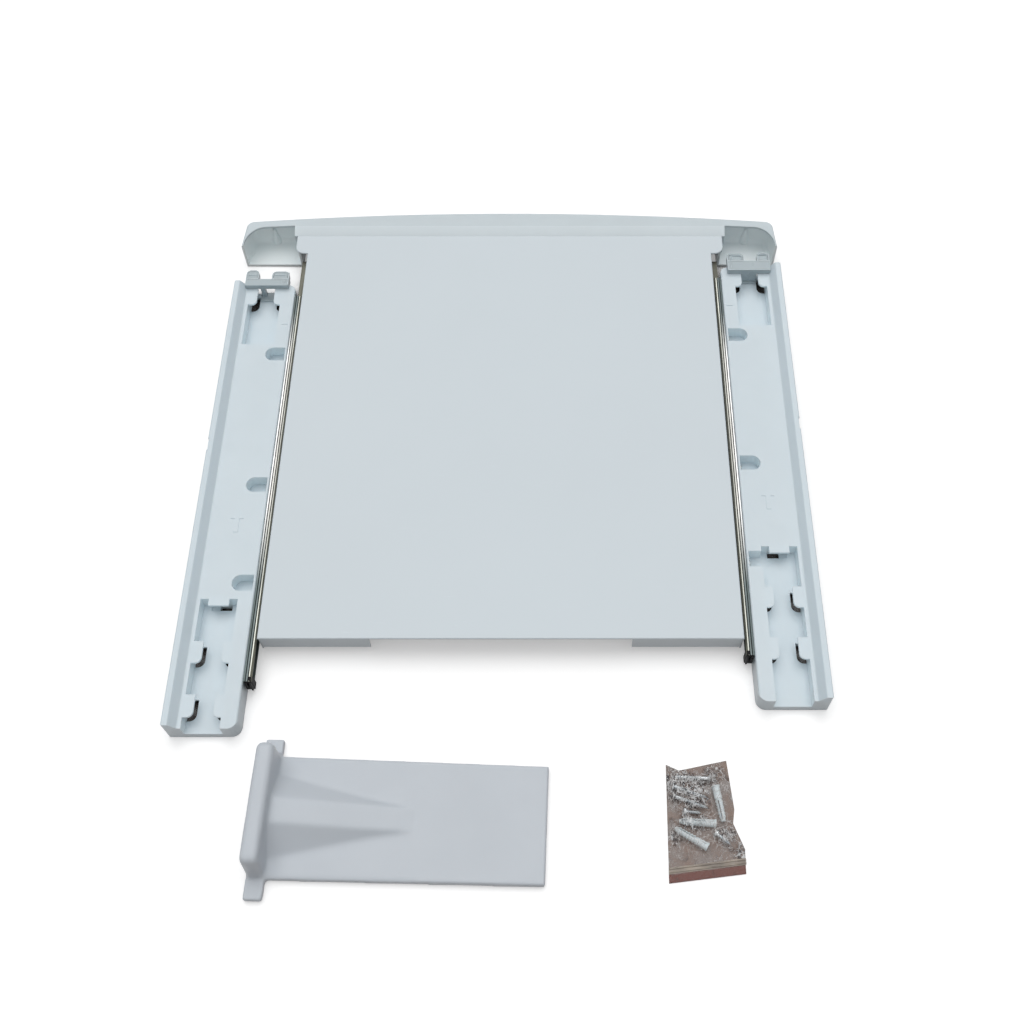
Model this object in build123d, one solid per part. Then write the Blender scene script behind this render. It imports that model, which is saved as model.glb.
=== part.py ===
from build123d import *
import os

# A kit that stacks a dryer on a washing machine and holds a pull-out shelf between them.
# X runs across the kit, Y from its rear to its front edge and Z up from the surface that it
# lies on, in millimetres. While it is drawn, Y is zero at the shelf's rear edge. Left is
# the side with negative X. A name that ends in share or shares holds plain ratios.

# Driving sizes of the whole kit
kit_width = 600.0
rail_width = 66.0
runner_gap = 9.7
shelf_length = 466.0
rail_past_shelf = 44.0
shelf_top_height = 29.7
left_open = 45.0
right_open = 19.2
cut_overrun = 1.0

# Rail moulding: heights, walls and edges
rail_wall = 2.5
deck_height = 22.0
rim_height = 30.5
rim_top_width = 6.0
rim_slope_run = 6.5
channel_floor_height = 8.0
rail_edge_radius = 2.0
rim_edge_radius = 1.6
rear_corner_radius = 9.0
front_corner_radius = 8.0
outer_corner_radius = 2.0
underside_rib_pitch = 62.0

# Rail moulding: channels, hooks, slots and pockets
channel_inset = 15.0
channel_width = 35.0
left_rear_channel_length = 128.0
right_rear_channel_length = 158.5
front_channel_length = 81.0
hook_pitch = 52.4
last_hook_to_channel_end = 63.8
front_hook_to_rail_end = 25.5
hook_length = 21.5
inner_hook_width = 7.5
outer_hook_width = 9.0
hook_thickness = 2.5
hook_rear_overhang = 1.0
hook_slot_length = 20.5
hook_slot_radius = 6.5
hook_corner_radius = 5.5
tongue_length = 6.8
tongue_side_gap = 7.8
tongue_slot_length = 6.0
tongue_slot_depth = 3.0
tongue_opening_share = 0.6
pocket_width = 17.0
pocket_depth = 20.5
pocket_floor_height = 8.0
pocket_place_shares = (0.2843, 0.498, 0.8157)
side_notch_place_share = 0.5686
side_notch_length = 14.0
side_notch_depth = 1.2
arrow_length = 26.0
arrow_width = 13.0
arrow_shaft_width = 4.5
arrow_head_length = 11.0
arrow_relief = 0.5
arrow_place_share = 0.392
deck_mark_place_share = 0.892
deck_mark_inset = 3.2
deck_mark_length = 6.8
deck_mark_width = 1.2
deck_mark_depth = 0.5

# Runners: two nested channels and a ball cage on each side
runner_rear_inset = 45.0
runner_front_inset = 15.0
runner_height = 20.0
runner_base_height = 2.0
runner_sheet = 1.0
outer_flange_reach = 8.0
inner_member_height = 12.4
inner_flange_reach = 7.2
runner_bend_radius = 0.8
least_overlap = 102.7
ball_diameter = 2.5
ball_pitch = 8.0
cage_sheet = 0.5
cage_length = 92.0
cage_flange_reach = 6.0
cage_hole_clearance = 0.1
cage_end_gap = 4.0
stopper_length = 6.5
stopper_gap = 1.2
stopper_slit_width = 1.6
stopper_slit_depth = 4.0
stopper_slit_inset = 3.4

# Shelf tray and front panel
tray_sheet = 1.5
tray_side_depth = 25.7
tray_rear_depth = 18.9
tray_front_depth = 21.0
tray_edge_radius = 1.2
rear_tab_length = 102.8
tray_corner_relief = 2.0
ear_overhang = 4.0
ear_length = 25.0
ear_corner_radius = 10.0
panel_wall = 2.5
panel_lip_height = 34.5
panel_end_inset = 2.0
panel_end_taper = 3.0
panel_wing_rear = 7.0
panel_end_depth = 36.0
panel_bow = 13.0
panel_lip_slope = 11.0
panel_end_radius = 9.0
panel_edge_radius = 3.0
wing_floor = 3.0
wing_cove_radius = 6.0
wing_lip_width = 11.0
wing_lip_end_share = 0.93
wing_corner_share = 0.6
wing_inner_clearance = 0.6
wing_under_ear = 4.3
gusset_base_radius = 5.0
gusset_top_radius = 1.5
gusset_height = 21.0
panel_boss_radius = 4.5
panel_boss_length = 9.0
rail_to_wing_gap = 1.7

# Front clips
clip_inner_inset = 7.4
clip_outer_inset = 11.4
clip_bar_height = 6.0
left_clip_bar_length = 9.2
right_clip_bar_length = 13.2
clip_bar_overhang = 4.0
clip_lug_length = 12.3
clip_short_lug_length = 10.7
clip_outer_lug_width = 14.0
clip_inner_lug_width = 18.8
clip_lug_radius = 5.0
clip_hollow_wall = 1.6
clip_hollow_depth = 4.0
left_clip_neck_start = 34.0
left_clip_neck_width = 4.5
right_clip_neck_start = 23.0
right_clip_neck_width = 17.0
clip_foot_thickness = 1.6
clip_foot_length = 12.0
clip_foot_side_gap = 9.6

# Rear stop bracket
bracket_place_x = -211.5
bracket_place_y = -157.5
bracket_turn = -1.8
bracket_length = 254.5
bracket_width = 108.0
bracket_end_width = 104.0
bracket_height = 8.0
bracket_wall = 2.6
bracket_edge_radius = 2.0
flange_thickness = 16.0
flange_height = 42.5
flange_far_reach = 56.5
flange_near_reach = 54.5
flange_near_slope_run = 6.0
flange_corner_radius = 7.0
flange_edge_radius = 5.0
far_tab_length = 13.0
near_tab_length = 17.0
tab_height = 7.0
ridge_top_width = 21.0
ridge_base_width = 86.0
ridge_height = 21.0
ridge_length = 137.0
ridge_tip_height = 0.6
bracket_rib_height = 4.0

# Bag of fixings
bag_place_x = 147.0
bag_place_y = -214.0
bag_width = 67.0
bag_length = 108.0
bag_height = 9.6
bag_film = 0.4
bag_outline_shares = ((0.0, 0.0), (0.99, 0.075), (1.0, 0.21), (0.87, 0.44), (0.9, 0.56), (0.84, 1.0),
                      (0.2, 0.915), (0.03, 0.965))
bag_pillow_shares = ((0.035, 0.2), (0.96, 0.23), (0.845, 0.44), (0.875, 0.57), (0.815, 0.965),
                     (0.2, 0.89), (0.045, 0.93))
bag_crown_share = 0.92
zip_width = 5.7
zip_thickness = 1.6
zip_seat = 14.4
zip_turn = 7.0

# Fixings
screw_hole_clearance = 0.15
runner_screw_radius = 1.9
runner_screw_head_radius = 3.6
runner_screw_head_height = 2.2
countersink_radius = 2.9
shelf_screw_reach = 6.0
shelf_screw_place_shares = (0.102, 0.469, 0.858)
panel_screw_radius = 1.8
panel_screw_head_radius = 3.6
panel_screw_head_height = 2.1
panel_screw_reach = 8.0
panel_screw_count = 5
panel_screw_end_inset = 24.3
long_screw_radius = 2.1
long_screw_head_radius = 3.9
long_screw_length = 33.0
long_screw_point = 5.0
short_screw_radius = 1.9
short_screw_head_radius = 3.7
short_screw_head_height = 2.4
short_screw_length = 14.0
short_screw_point = 3.0
plug_radius = 3.4
plug_tip_radius = 2.7
plug_bore_radius = 1.7
plug_length = 32.0
plug_split_length = 20.0
plug_split_width = 1.0
plug_collar_radius = 3.9
plug_collar_length = 1.4
fixing_gap = 0.2

# Places that follow from the sizes above
rail_length = shelf_length + rail_past_shelf
rail_inner_x = kit_width / 2 - rail_width
shelf_half_width = rail_inner_x - runner_gap
ear_half_width = rail_inner_x + ear_overhang
panel_end_half = kit_width / 2 - panel_end_inset
panel_front_half = panel_end_half - panel_end_taper
gusset_x = rail_inner_x + rail_width / 2
pocket_places = [share * rail_length for share in pocket_place_shares]
runner_length = rail_length - runner_rear_inset - runner_front_inset
wing_rear_y = shelf_length + panel_wing_rear
rail_closed_y = wing_rear_y - rail_to_wing_gap - rail_length
runner_middle_height = runner_base_height + runner_height / 2
inner_member_rear = rail_closed_y + runner_rear_inset + stopper_length + stopper_gap
shelf_screw_places = [inner_member_rear + share * runner_length for share in shelf_screw_place_shares]
seam_y = shelf_length + ear_length
front_end_y = wing_rear_y + panel_end_depth
front_apex_y = front_end_y + panel_bow
full_extension = rail_closed_y + runner_rear_inset + runner_length - inner_member_rear - least_overlap


def block(x_from, x_to, y_from, y_to, z_from, z_to):
    """A plain box between the given places."""
    size = (abs(x_to - x_from), abs(y_to - y_from), abs(z_to - z_from))
    middle = ((x_from + x_to) / 2, (y_from + y_to) / 2, (z_from + z_to) / 2)
    return Pos(*middle) * Box(*size)


def flat(points):
    """A face through points given as (x, y), at Z zero."""
    return make_face(Polyline(*points, close=True))


def upright(points, y_place):
    """A face through points given as (x, z), in the upright plane at y_place."""
    plane = Plane(origin=(0, y_place, 0), x_dir=(1, 0, 0), z_dir=(0, -1, 0))
    return plane * flat(points)


def along_x(radius, length, place):
    """A cylinder that starts at place and runs towards positive X."""
    return Pos(*place) * Rot(0, 90, 0) * Cylinder(radius, length, align=(Align.CENTER, Align.CENTER, Align.MIN))


def along_y(radius, length, place):
    """A cylinder that starts at place and runs towards positive Y."""
    return Pos(*place) * Rot(-90, 0, 0) * Cylinder(radius, length, align=(Align.CENTER, Align.CENTER, Align.MIN))


def on_left(shape):
    """The mirror image of a right-hand piece."""
    return mirror(shape, about=Plane.YZ)


def side_sizes(side):
    """How far a rail is drawn back in this pose, and how long its rear channel is."""
    if side == "left":
        return left_open, left_rear_channel_length
    return right_open, right_rear_channel_length


def rail_rear_y(side):
    """The Y of the rail's rear end."""
    return rail_closed_y - side_sizes(side)[0]


def hook_places(side):
    """Distances from the rail's rear end to the rear edge of each pair of hook slots."""
    rear_channel_length = side_sizes(side)[1]
    front_rear_hook = rear_channel_length - last_hook_to_channel_end
    return (front_rear_hook - hook_pitch, front_rear_hook, rail_length - front_hook_to_rail_end)


def rail_section():
    """The rail's outline across its length: a deck, a slope and a rim."""
    slope_start = rail_width - rim_top_width - rim_slope_run
    points = ((0, 0), (0, deck_height), (slope_start, deck_height),
              (rail_width - rim_top_width, rim_height), (rail_width, rim_height), (rail_width, 0))
    section = flat(points)
    corners = section.vertices()
    deck_edge = corners.sort_by_distance((0, deck_height, 0))[0]
    section = fillet(deck_edge, rail_edge_radius)
    corners = section.vertices()
    slope_foot = corners.sort_by_distance((slope_start, deck_height, 0))[0]
    section = fillet(slope_foot, rail_edge_radius)
    rim_corners = section.vertices().sort_by_distance((rail_width - rim_top_width / 2, rim_height, 0))[:2]
    return fillet(rim_corners, rim_edge_radius)


def rail_plan():
    """The rail's outline from above, with its rounded corners."""
    outline = flat(((0, 0), (rail_width, 0), (rail_width, rail_length), (0, rail_length)))
    corner = outline.vertices().sort_by_distance((0, 0, 0))[0]
    outline = fillet(corner, rear_corner_radius)
    corner = outline.vertices().sort_by_distance((0, rail_length, 0))[0]
    outline = fillet(corner, front_corner_radius)
    outer_corners = outline.vertices().sort_by_distance((rail_width, 0, 0))[0]
    outline = fillet(outer_corners, outer_corner_radius)
    outer_corners = outline.vertices().sort_by_distance((rail_width, rail_length, 0))[0]
    return fillet(outer_corners, outer_corner_radius)


def underside_room():
    """The room inside a rail's walls, rounded where the rail's own corners are."""
    right, end = rail_width - rail_wall, rail_length - rail_wall
    outline = flat(((rail_wall, rail_wall), (right, rail_wall), (right, end), (rail_wall, end)))
    corner = outline.vertices().sort_by_distance((0, 0, 0))[0]
    outline = fillet(corner, rear_corner_radius - rail_wall)
    corner = outline.vertices().sort_by_distance((0, rail_length, 0))[0]
    outline = fillet(corner, front_corner_radius - rail_wall)
    return Pos(0, 0, -cut_overrun) * extrude(outline, rim_height)


def underside_cells(start, end, left, right, top):
    """Hollows under a rail between two places along it, with cross ribs between them."""
    span = end - start
    count = max(1, round(span / underside_rib_pitch))
    pitch = span / count
    cells = []
    for index in range(count):
        cell_start = start + index * pitch + rail_wall / 2
        cell_end = start + (index + 1) * pitch - rail_wall / 2
        cells.append(block(left, right, cell_start, cell_end, -cut_overrun, top))
    return cells


def channel_cut(start, end):
    """The open channel between two places along the rail."""
    return block(channel_inset, channel_inset + channel_width, start, end, channel_floor_height,
                 rim_height + cut_overrun)


def hook_slot(left, right, start, end, corner_x):
    """A slot through the channel's floor, with one rounded corner at its rear."""
    outline = flat(((left, start), (right, start), (right, end), (left, end)))
    corner = outline.vertices().sort_by_distance((corner_x, start, 0))[0]
    outline = fillet(corner, hook_slot_radius)
    return Pos(0, 0, -cut_overrun) * extrude(outline, channel_floor_height + 2 * cut_overrun)


def hook_slots(place):
    """The two floor slots below a pair of hooks."""
    inner_end = channel_inset + inner_hook_width
    outer_start = channel_inset + channel_width - outer_hook_width
    end = place + hook_slot_length
    return [hook_slot(channel_inset, inner_end, place, end, inner_end),
            hook_slot(outer_start, channel_inset + channel_width, place, end, outer_start)]


def hooks(place):
    """A pair of hooks at deck height, one on each side of the channel."""
    hook_start = place - hook_rear_overhang
    outer_edge = channel_inset + channel_width
    return [hook_plate(channel_inset - rail_wall, channel_inset + inner_hook_width, hook_start, False),
            hook_plate(outer_edge - outer_hook_width, outer_edge + rail_wall, hook_start, True)]


def hook_plate(left, right, start, round_left):
    """One flat hook, with the rear corner of its free side rounded."""
    end = start + hook_length
    outline = flat(((left, start), (right, start), (right, end), (left, end)))
    corner_x = left if round_left else right
    corner = outline.vertices().sort_by_distance((corner_x, start, 0))[0]
    outline = fillet(corner, hook_corner_radius)
    return Pos(0, 0, deck_height - hook_thickness) * extrude(outline, hook_thickness)


def channel_tongue(channel_end):
    """The tongue that reaches back over the front end of the rear channel."""
    left = channel_inset + tongue_side_gap
    right = channel_inset + channel_width - tongue_side_gap
    return block(left, right, channel_end - tongue_length, channel_end + rail_wall,
                 deck_height - hook_thickness, deck_height)


def tongue_slots(channel_end):
    """The floor slot below the tongue: open on its inner half, a blind step on its outer half."""
    left = channel_inset + tongue_side_gap
    right = channel_inset + channel_width - tongue_side_gap
    middle = left + (right - left) * tongue_opening_share
    start = channel_end - tongue_slot_length
    opening = block(left, middle, start, channel_end, -cut_overrun, channel_floor_height + cut_overrun)
    step = block(middle, right, start, channel_end, channel_floor_height - tongue_slot_depth / 2,
                 channel_floor_height + cut_overrun)
    return [opening, step]


def finger_pocket(place):
    """A pocket with a round end, beside the rail's inner wall, that gives access to a runner screw."""
    radius = pocket_width / 2
    straight = pocket_depth - radius
    low = pocket_floor_height
    high = rim_height + cut_overrun
    pocket = block(rail_wall, rail_wall + straight, place - radius, place + radius, low, high)
    round_end = Pos(rail_wall + straight, place, (low + high) / 2) * Cylinder(radius, high - low)
    return pocket + round_end


def pocket_casing(place):
    """The solid wall that a finger pocket is cut into."""
    radius = pocket_width / 2 + rail_wall
    straight = pocket_depth - pocket_width / 2
    low = pocket_floor_height - rail_wall
    casing = block(rail_wall / 2, rail_wall + straight, place - radius, place + radius, low, deck_height)
    round_end = Pos(rail_wall + straight, place, (low + deck_height) / 2) * Cylinder(radius, deck_height - low)
    return casing + round_end


def deck_arrow():
    """A plain raised arrow on the deck that points to the front."""
    middle = (rail_width - rim_top_width - rim_slope_run) / 2
    tail = arrow_place_share * rail_length
    tip = tail + arrow_length
    neck = tip - arrow_head_length
    half_head = arrow_width / 2
    half_shaft = arrow_shaft_width / 2
    points = ((middle, tip), (middle + half_head, neck), (middle + half_shaft, neck),
              (middle + half_shaft, tail), (middle - half_shaft, tail),
              (middle - half_shaft, neck), (middle - half_head, neck))
    return Pos(0, 0, deck_height) * extrude(flat(points), arrow_relief)


def runner_screw_hole(place):
    """The hole in the rail's inner wall for one runner screw."""
    return along_x(runner_screw_radius + screw_hole_clearance, rail_wall + 2 * cut_overrun,
                   (-cut_overrun, place, runner_middle_height))


def rail_moulding(side):
    """One rail with its channels, hooks, pockets and ribbed underside, drawn from its own corner."""
    rear_channel_end = side_sizes(side)[1]
    front_channel_start = rail_length - front_channel_length
    section = upright_section(rail_section())
    rail = section & extrude(rail_plan(), rim_height)
    hollow_right = rail_width - rail_wall
    channel_right = channel_inset + channel_width
    low_top = channel_floor_height - rail_wall
    high_top = deck_height - rail_wall
    cells = underside_cells(rail_wall / 2, rail_length - rail_wall / 2, rail_wall, hollow_right, low_top)
    cells += underside_cells(rear_channel_end + rail_wall / 2, front_channel_start - rail_wall / 2,
                             rail_wall, hollow_right, high_top)
    for start, end in ((rail_wall / 2, rear_channel_end), (front_channel_start, rail_length - rail_wall / 2)):
        cells += underside_cells(start, end, rail_wall, channel_inset - rail_wall, high_top)
        cells += underside_cells(start, end, channel_right + rail_wall, hollow_right, high_top)
    room = underside_room()
    for cell in cells:
        rail -= cell & room
    for place in pocket_places:
        rail += pocket_casing(place) & extrude(rail_plan(), deck_height)
    cuts = [channel_cut(-cut_overrun, rear_channel_end),
            channel_cut(front_channel_start, rail_length + cut_overrun)]
    cuts += tongue_slots(rear_channel_end)
    for place in hook_places(side):
        cuts += hook_slots(place)
    for cut in cuts:
        rail -= cut
    for place in hook_places(side):
        for hook in hooks(place):
            rail += hook
    rail += channel_tongue(rear_channel_end)
    for place in pocket_places:
        rail -= finger_pocket(place)
        rail -= runner_screw_hole(place)
    notch_x = rail_width - side_notch_depth
    notch_start = side_notch_place_share * rail_length
    rail -= block(notch_x, rail_width + cut_overrun, notch_start, notch_start + side_notch_length,
                  channel_floor_height, rim_height + cut_overrun)
    mark_start = deck_mark_place_share * rail_length
    rail -= block(deck_mark_inset, deck_mark_inset + deck_mark_length, mark_start, mark_start + deck_mark_width,
                  deck_height - deck_mark_depth, deck_height + cut_overrun)
    return rail + deck_arrow()


def upright_section(section):
    """A section drawn in X and Y, stood up in X and Z and drawn out along the rail."""
    plane = Plane(origin=(0, rail_length, 0), x_dir=(1, 0, 0), z_dir=(0, -1, 0))
    return extrude(plane * section, rail_length)


def place_on_side(shape, side, y_place):
    """A piece drawn from the rail's inner face, moved to its side of the kit."""
    placed = Pos(rail_inner_x, y_place, 0) * shape
    if side == "left":
        return on_left(placed)
    return placed


def outer_member():
    """The runner's outer channel, against the rail's inner face, with its screw holes."""
    low = runner_base_height
    high = runner_base_height + runner_height
    channel = block(-outer_flange_reach, 0, 0, runner_length, low, high)
    corners = channel.edges().filter_by(Axis.Y).sort_by(Axis.X)[2:]
    channel = fillet(corners, runner_bend_radius)
    channel -= block(-outer_flange_reach - cut_overrun, -runner_sheet, -cut_overrun, runner_length + cut_overrun,
                     low + runner_sheet, high - runner_sheet)
    for place in pocket_places:
        channel -= along_x(runner_screw_radius + screw_hole_clearance, runner_sheet + 2 * cut_overrun,
                           (-runner_sheet - cut_overrun, place - runner_rear_inset, runner_middle_height))
    return channel


def runner_screws():
    """Pan-head screws in the finger pockets that hold the outer channel to the rail."""
    screws = []
    for place in pocket_places:
        shank = along_x(runner_screw_radius, rail_wall + runner_sheet, (-runner_sheet, place, runner_middle_height))
        head = along_x(runner_screw_head_radius, runner_screw_head_height, (rail_wall, place, runner_middle_height))
        head_edge = head.edges().sort_by(Axis.X)[-1]
        screws.append(shank + fillet(head_edge, runner_screw_head_height / 2))
    return screws


def rear_stopper():
    """The black stopper in the rear end of the outer channel, with an upright slit in its rear."""
    low = runner_base_height + runner_sheet
    high = runner_base_height + runner_height - runner_sheet
    stopper = block(-outer_flange_reach, -runner_sheet, 0, stopper_length, low, high)
    slit_end = -outer_flange_reach + stopper_slit_inset
    return stopper - block(slit_end - stopper_slit_width, slit_end, -cut_overrun, stopper_slit_depth,
                           low - cut_overrun, high + cut_overrun)


def inner_member():
    """The runner's inner channel, against the shelf's side, with its countersunk holes."""
    low = runner_middle_height - inner_member_height / 2
    high = runner_middle_height + inner_member_height / 2
    start = shelf_half_width
    end = inner_member_rear + runner_length
    channel = block(start, start + inner_flange_reach, inner_member_rear, end, low, high)
    corners = channel.edges().filter_by(Axis.Y).sort_by(Axis.X)[:2]
    channel = fillet(corners, runner_bend_radius)
    channel -= block(start + runner_sheet, start + inner_flange_reach + cut_overrun,
                     inner_member_rear - cut_overrun, end + cut_overrun, low + runner_sheet, high - runner_sheet)
    for place in shelf_screw_places:
        channel -= countersink(place, screw_hole_clearance)
    return channel


def countersink(place, growth):
    """The cone of a countersunk head in the inner channel's web, made larger by growth."""
    return Pos(shelf_half_width + runner_sheet, place, runner_middle_height) * Rot(0, -90, 0) * Cone(
        countersink_radius + growth, runner_screw_radius + growth, runner_sheet,
        align=(Align.CENTER, Align.CENTER, Align.MIN))


def shelf_screw(place):
    """A countersunk screw, flush with the inner channel's web, that holds it to the shelf."""
    shank_start = shelf_half_width - shelf_screw_reach
    shank = along_x(runner_screw_radius, shelf_screw_reach, (shank_start, place, runner_middle_height))
    return countersink(place, 0) + shank


def cage_start(side):
    """The Y of the cage's rear end: it runs at half the rail's speed between its stops."""
    drawn = side_sizes(side)[0]
    return inner_member_rear + cage_end_gap + (full_extension - drawn) / 2


def ball_places():
    """Distances of the balls from the cage's rear end."""
    count = int((cage_length - ball_pitch) / ball_pitch)
    start = (cage_length - (count - 1) * ball_pitch) / 2
    return [start + index * ball_pitch for index in range(count)]


def ball_rows():
    """X and the two heights of the ball rows, half way between the inner and outer flanges."""
    inner_top = inner_member_height / 2
    outer_top = runner_height / 2 - runner_sheet
    offset = (inner_top + outer_top) / 2
    middle_x = (shelf_half_width + inner_flange_reach + rail_inner_x - outer_flange_reach) / 2
    return middle_x, (runner_middle_height - offset, runner_middle_height + offset)


def ball_cage(side):
    """The thin strip that spaces the balls, bent round the inner channel."""
    middle_x, heights = ball_rows()
    start = cage_start(side)
    inner_tip = shelf_half_width + inner_flange_reach
    web_room = rail_inner_x - runner_sheet - inner_tip
    web_end = inner_tip + (web_room + cage_sheet) / 2
    low = heights[0] - cage_sheet / 2
    high = heights[1] + cage_sheet / 2
    cage = block(web_end - cage_flange_reach, web_end, start, start + cage_length, low, high)
    cage -= block(web_end - cage_flange_reach - cut_overrun, web_end - cage_sheet, start - cut_overrun,
                  start + cage_length + cut_overrun, low + cage_sheet, high - cage_sheet)
    hole_radius = ball_diameter / 2 + cage_hole_clearance
    for place in ball_places():
        for height in heights:
            cage -= Pos(middle_x, start + place, height) * Cylinder(hole_radius, cage_sheet + cut_overrun)
    return cage


def balls(side):
    """Both rows of balls in one cage."""
    middle_x, heights = ball_rows()
    start = cage_start(side)
    return [Pos(middle_x, start + place, height) * Sphere(ball_diameter / 2)
            for height in heights for place in ball_places()]


def shelf_tray():
    """The folded tray: a flat top with ears at its front, side flanges, rear tabs and a front flange."""
    half = shelf_half_width
    points = ((-half, 0), (half, 0), (half, shelf_length), (ear_half_width, shelf_length),
              (ear_half_width, seam_y), (-ear_half_width, seam_y), (-ear_half_width, shelf_length),
              (-half, shelf_length))
    outline = flat(points)
    for sign in (-1, 1):
        corner = outline.vertices().sort_by_distance((sign * ear_half_width, shelf_length, 0))[0]
        outline = fillet(corner, ear_corner_radius)
    sheet_base = shelf_top_height - tray_sheet
    tray = Pos(0, 0, sheet_base) * extrude(outline, tray_sheet)
    rear_edges = tray.faces().sort_by(Axis.Z)[-1].edges().filter_by(GeomType.LINE)
    tray = fillet(rear_edges.sort_by(Axis.Y)[:-1], tray_edge_radius)
    side_base = shelf_top_height - tray_side_depth
    tab_base = shelf_top_height - tray_rear_depth
    front_base = shelf_top_height - tray_front_depth
    for sign in (-1, 1):
        outer = sign * half
        inner = sign * (half - tray_sheet)
        tray += block(inner, outer, tray_corner_relief, shelf_length - tray_corner_relief, side_base,
                      shelf_top_height - tray_edge_radius)
        tab_end = half - rear_tab_length
        tab_outer = half - tray_corner_relief
        tab = upright(((sign * tab_outer, tab_base), (sign * tab_outer, shelf_top_height - tray_edge_radius),
                       (sign * tab_end, shelf_top_height - tray_edge_radius), (sign * tab_end, tab_base)),
                      tray_sheet)
        tray += extrude(tab, tray_sheet, dir=(0, -1, 0))
    tray += block(-half, half, seam_y - tray_sheet, seam_y, front_base, sheet_base + tray_sheet / 2)
    for place in shelf_screw_places:
        for sign in (-1, 1):
            hole_start = sign * half - shelf_screw_reach
            tray -= along_x(runner_screw_radius + screw_hole_clearance, 2 * shelf_screw_reach,
                            (hole_start, place, runner_middle_height))
    for screw_x in panel_screw_places():
        tray -= along_y(panel_screw_radius + screw_hole_clearance, tray_sheet + 2 * cut_overrun,
                        (screw_x, seam_y - tray_sheet - cut_overrun, panel_screw_height()))
    return tray


def panel_screw_places():
    """X of each screw between the tray and the front panel."""
    end_x = shelf_half_width - panel_screw_end_inset
    step = 2 * end_x / (panel_screw_count - 1)
    return [index * step - end_x for index in range(panel_screw_count)]


def panel_screw_height():
    """The height of the panel screws: the middle of the tray's front flange."""
    return shelf_top_height - tray_front_depth / 2


def panel_screws():
    """Pan-head screws through the tray's front flange into the front panel's bosses."""
    screws = []
    for screw_x in panel_screw_places():
        height = panel_screw_height()
        shank = along_y(panel_screw_radius, panel_screw_reach, (screw_x, seam_y - tray_sheet, height))
        head = along_y(panel_screw_head_radius, panel_screw_head_height,
                       (screw_x, seam_y - tray_sheet - panel_screw_head_height, height))
        head_edge = head.edges().sort_by(Axis.Y)[0]
        screws.append(shank + fillet(head_edge, panel_screw_head_height / 2))
    return screws


def panel_outline(inset):
    """The front panel's plan: a bowed front, rounded ends and straight wings, drawn in by inset."""
    rear_half = panel_end_half - inset
    front_half = panel_front_half - inset
    front_y = front_end_y - inset
    bow = ThreePointArc((front_half, front_y), (0, front_apex_y - inset), (-front_half, front_y))
    sides = Polyline((-front_half, front_y), (-rear_half, wing_rear_y), (rear_half, wing_rear_y),
                     (front_half, front_y))
    outline = make_face(Curve() + [bow, sides])
    corners = outline.vertices().sort_by(Axis.Y)[-2:]
    return fillet(corners, panel_end_radius - inset)


def bowed_front_y(place_x):
    """The Y of the panel's bowed front at a distance from its middle."""
    return front_end_y + panel_bow * (1 - (place_x / panel_front_half) ** 2)


def wing_opening():
    """The open top of one wing, seen from above: its front edge curves back towards the end."""
    inner_x = ear_half_width + wing_inner_clearance
    outer_x = panel_end_half - panel_wall
    front_inner = bowed_front_y(inner_x) - wing_lip_width
    corner_x = inner_x + (outer_x - inner_x) * wing_corner_share
    corner_y = front_inner - (front_inner - wing_rear_y) * (1 - wing_lip_end_share)
    front_edge = Line((inner_x, front_inner), (corner_x, corner_y))
    round_edge = EllipticalCenterArc((corner_x, wing_rear_y), outer_x - corner_x, corner_y - wing_rear_y,
                                     start_angle=0, arc_size=90)
    rear = wing_rear_y - cut_overrun
    rest = Polyline((outer_x, wing_rear_y), (outer_x, rear), (inner_x, rear), (inner_x, front_inner))
    return make_face(Curve() + [front_edge, round_edge, rest])


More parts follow.
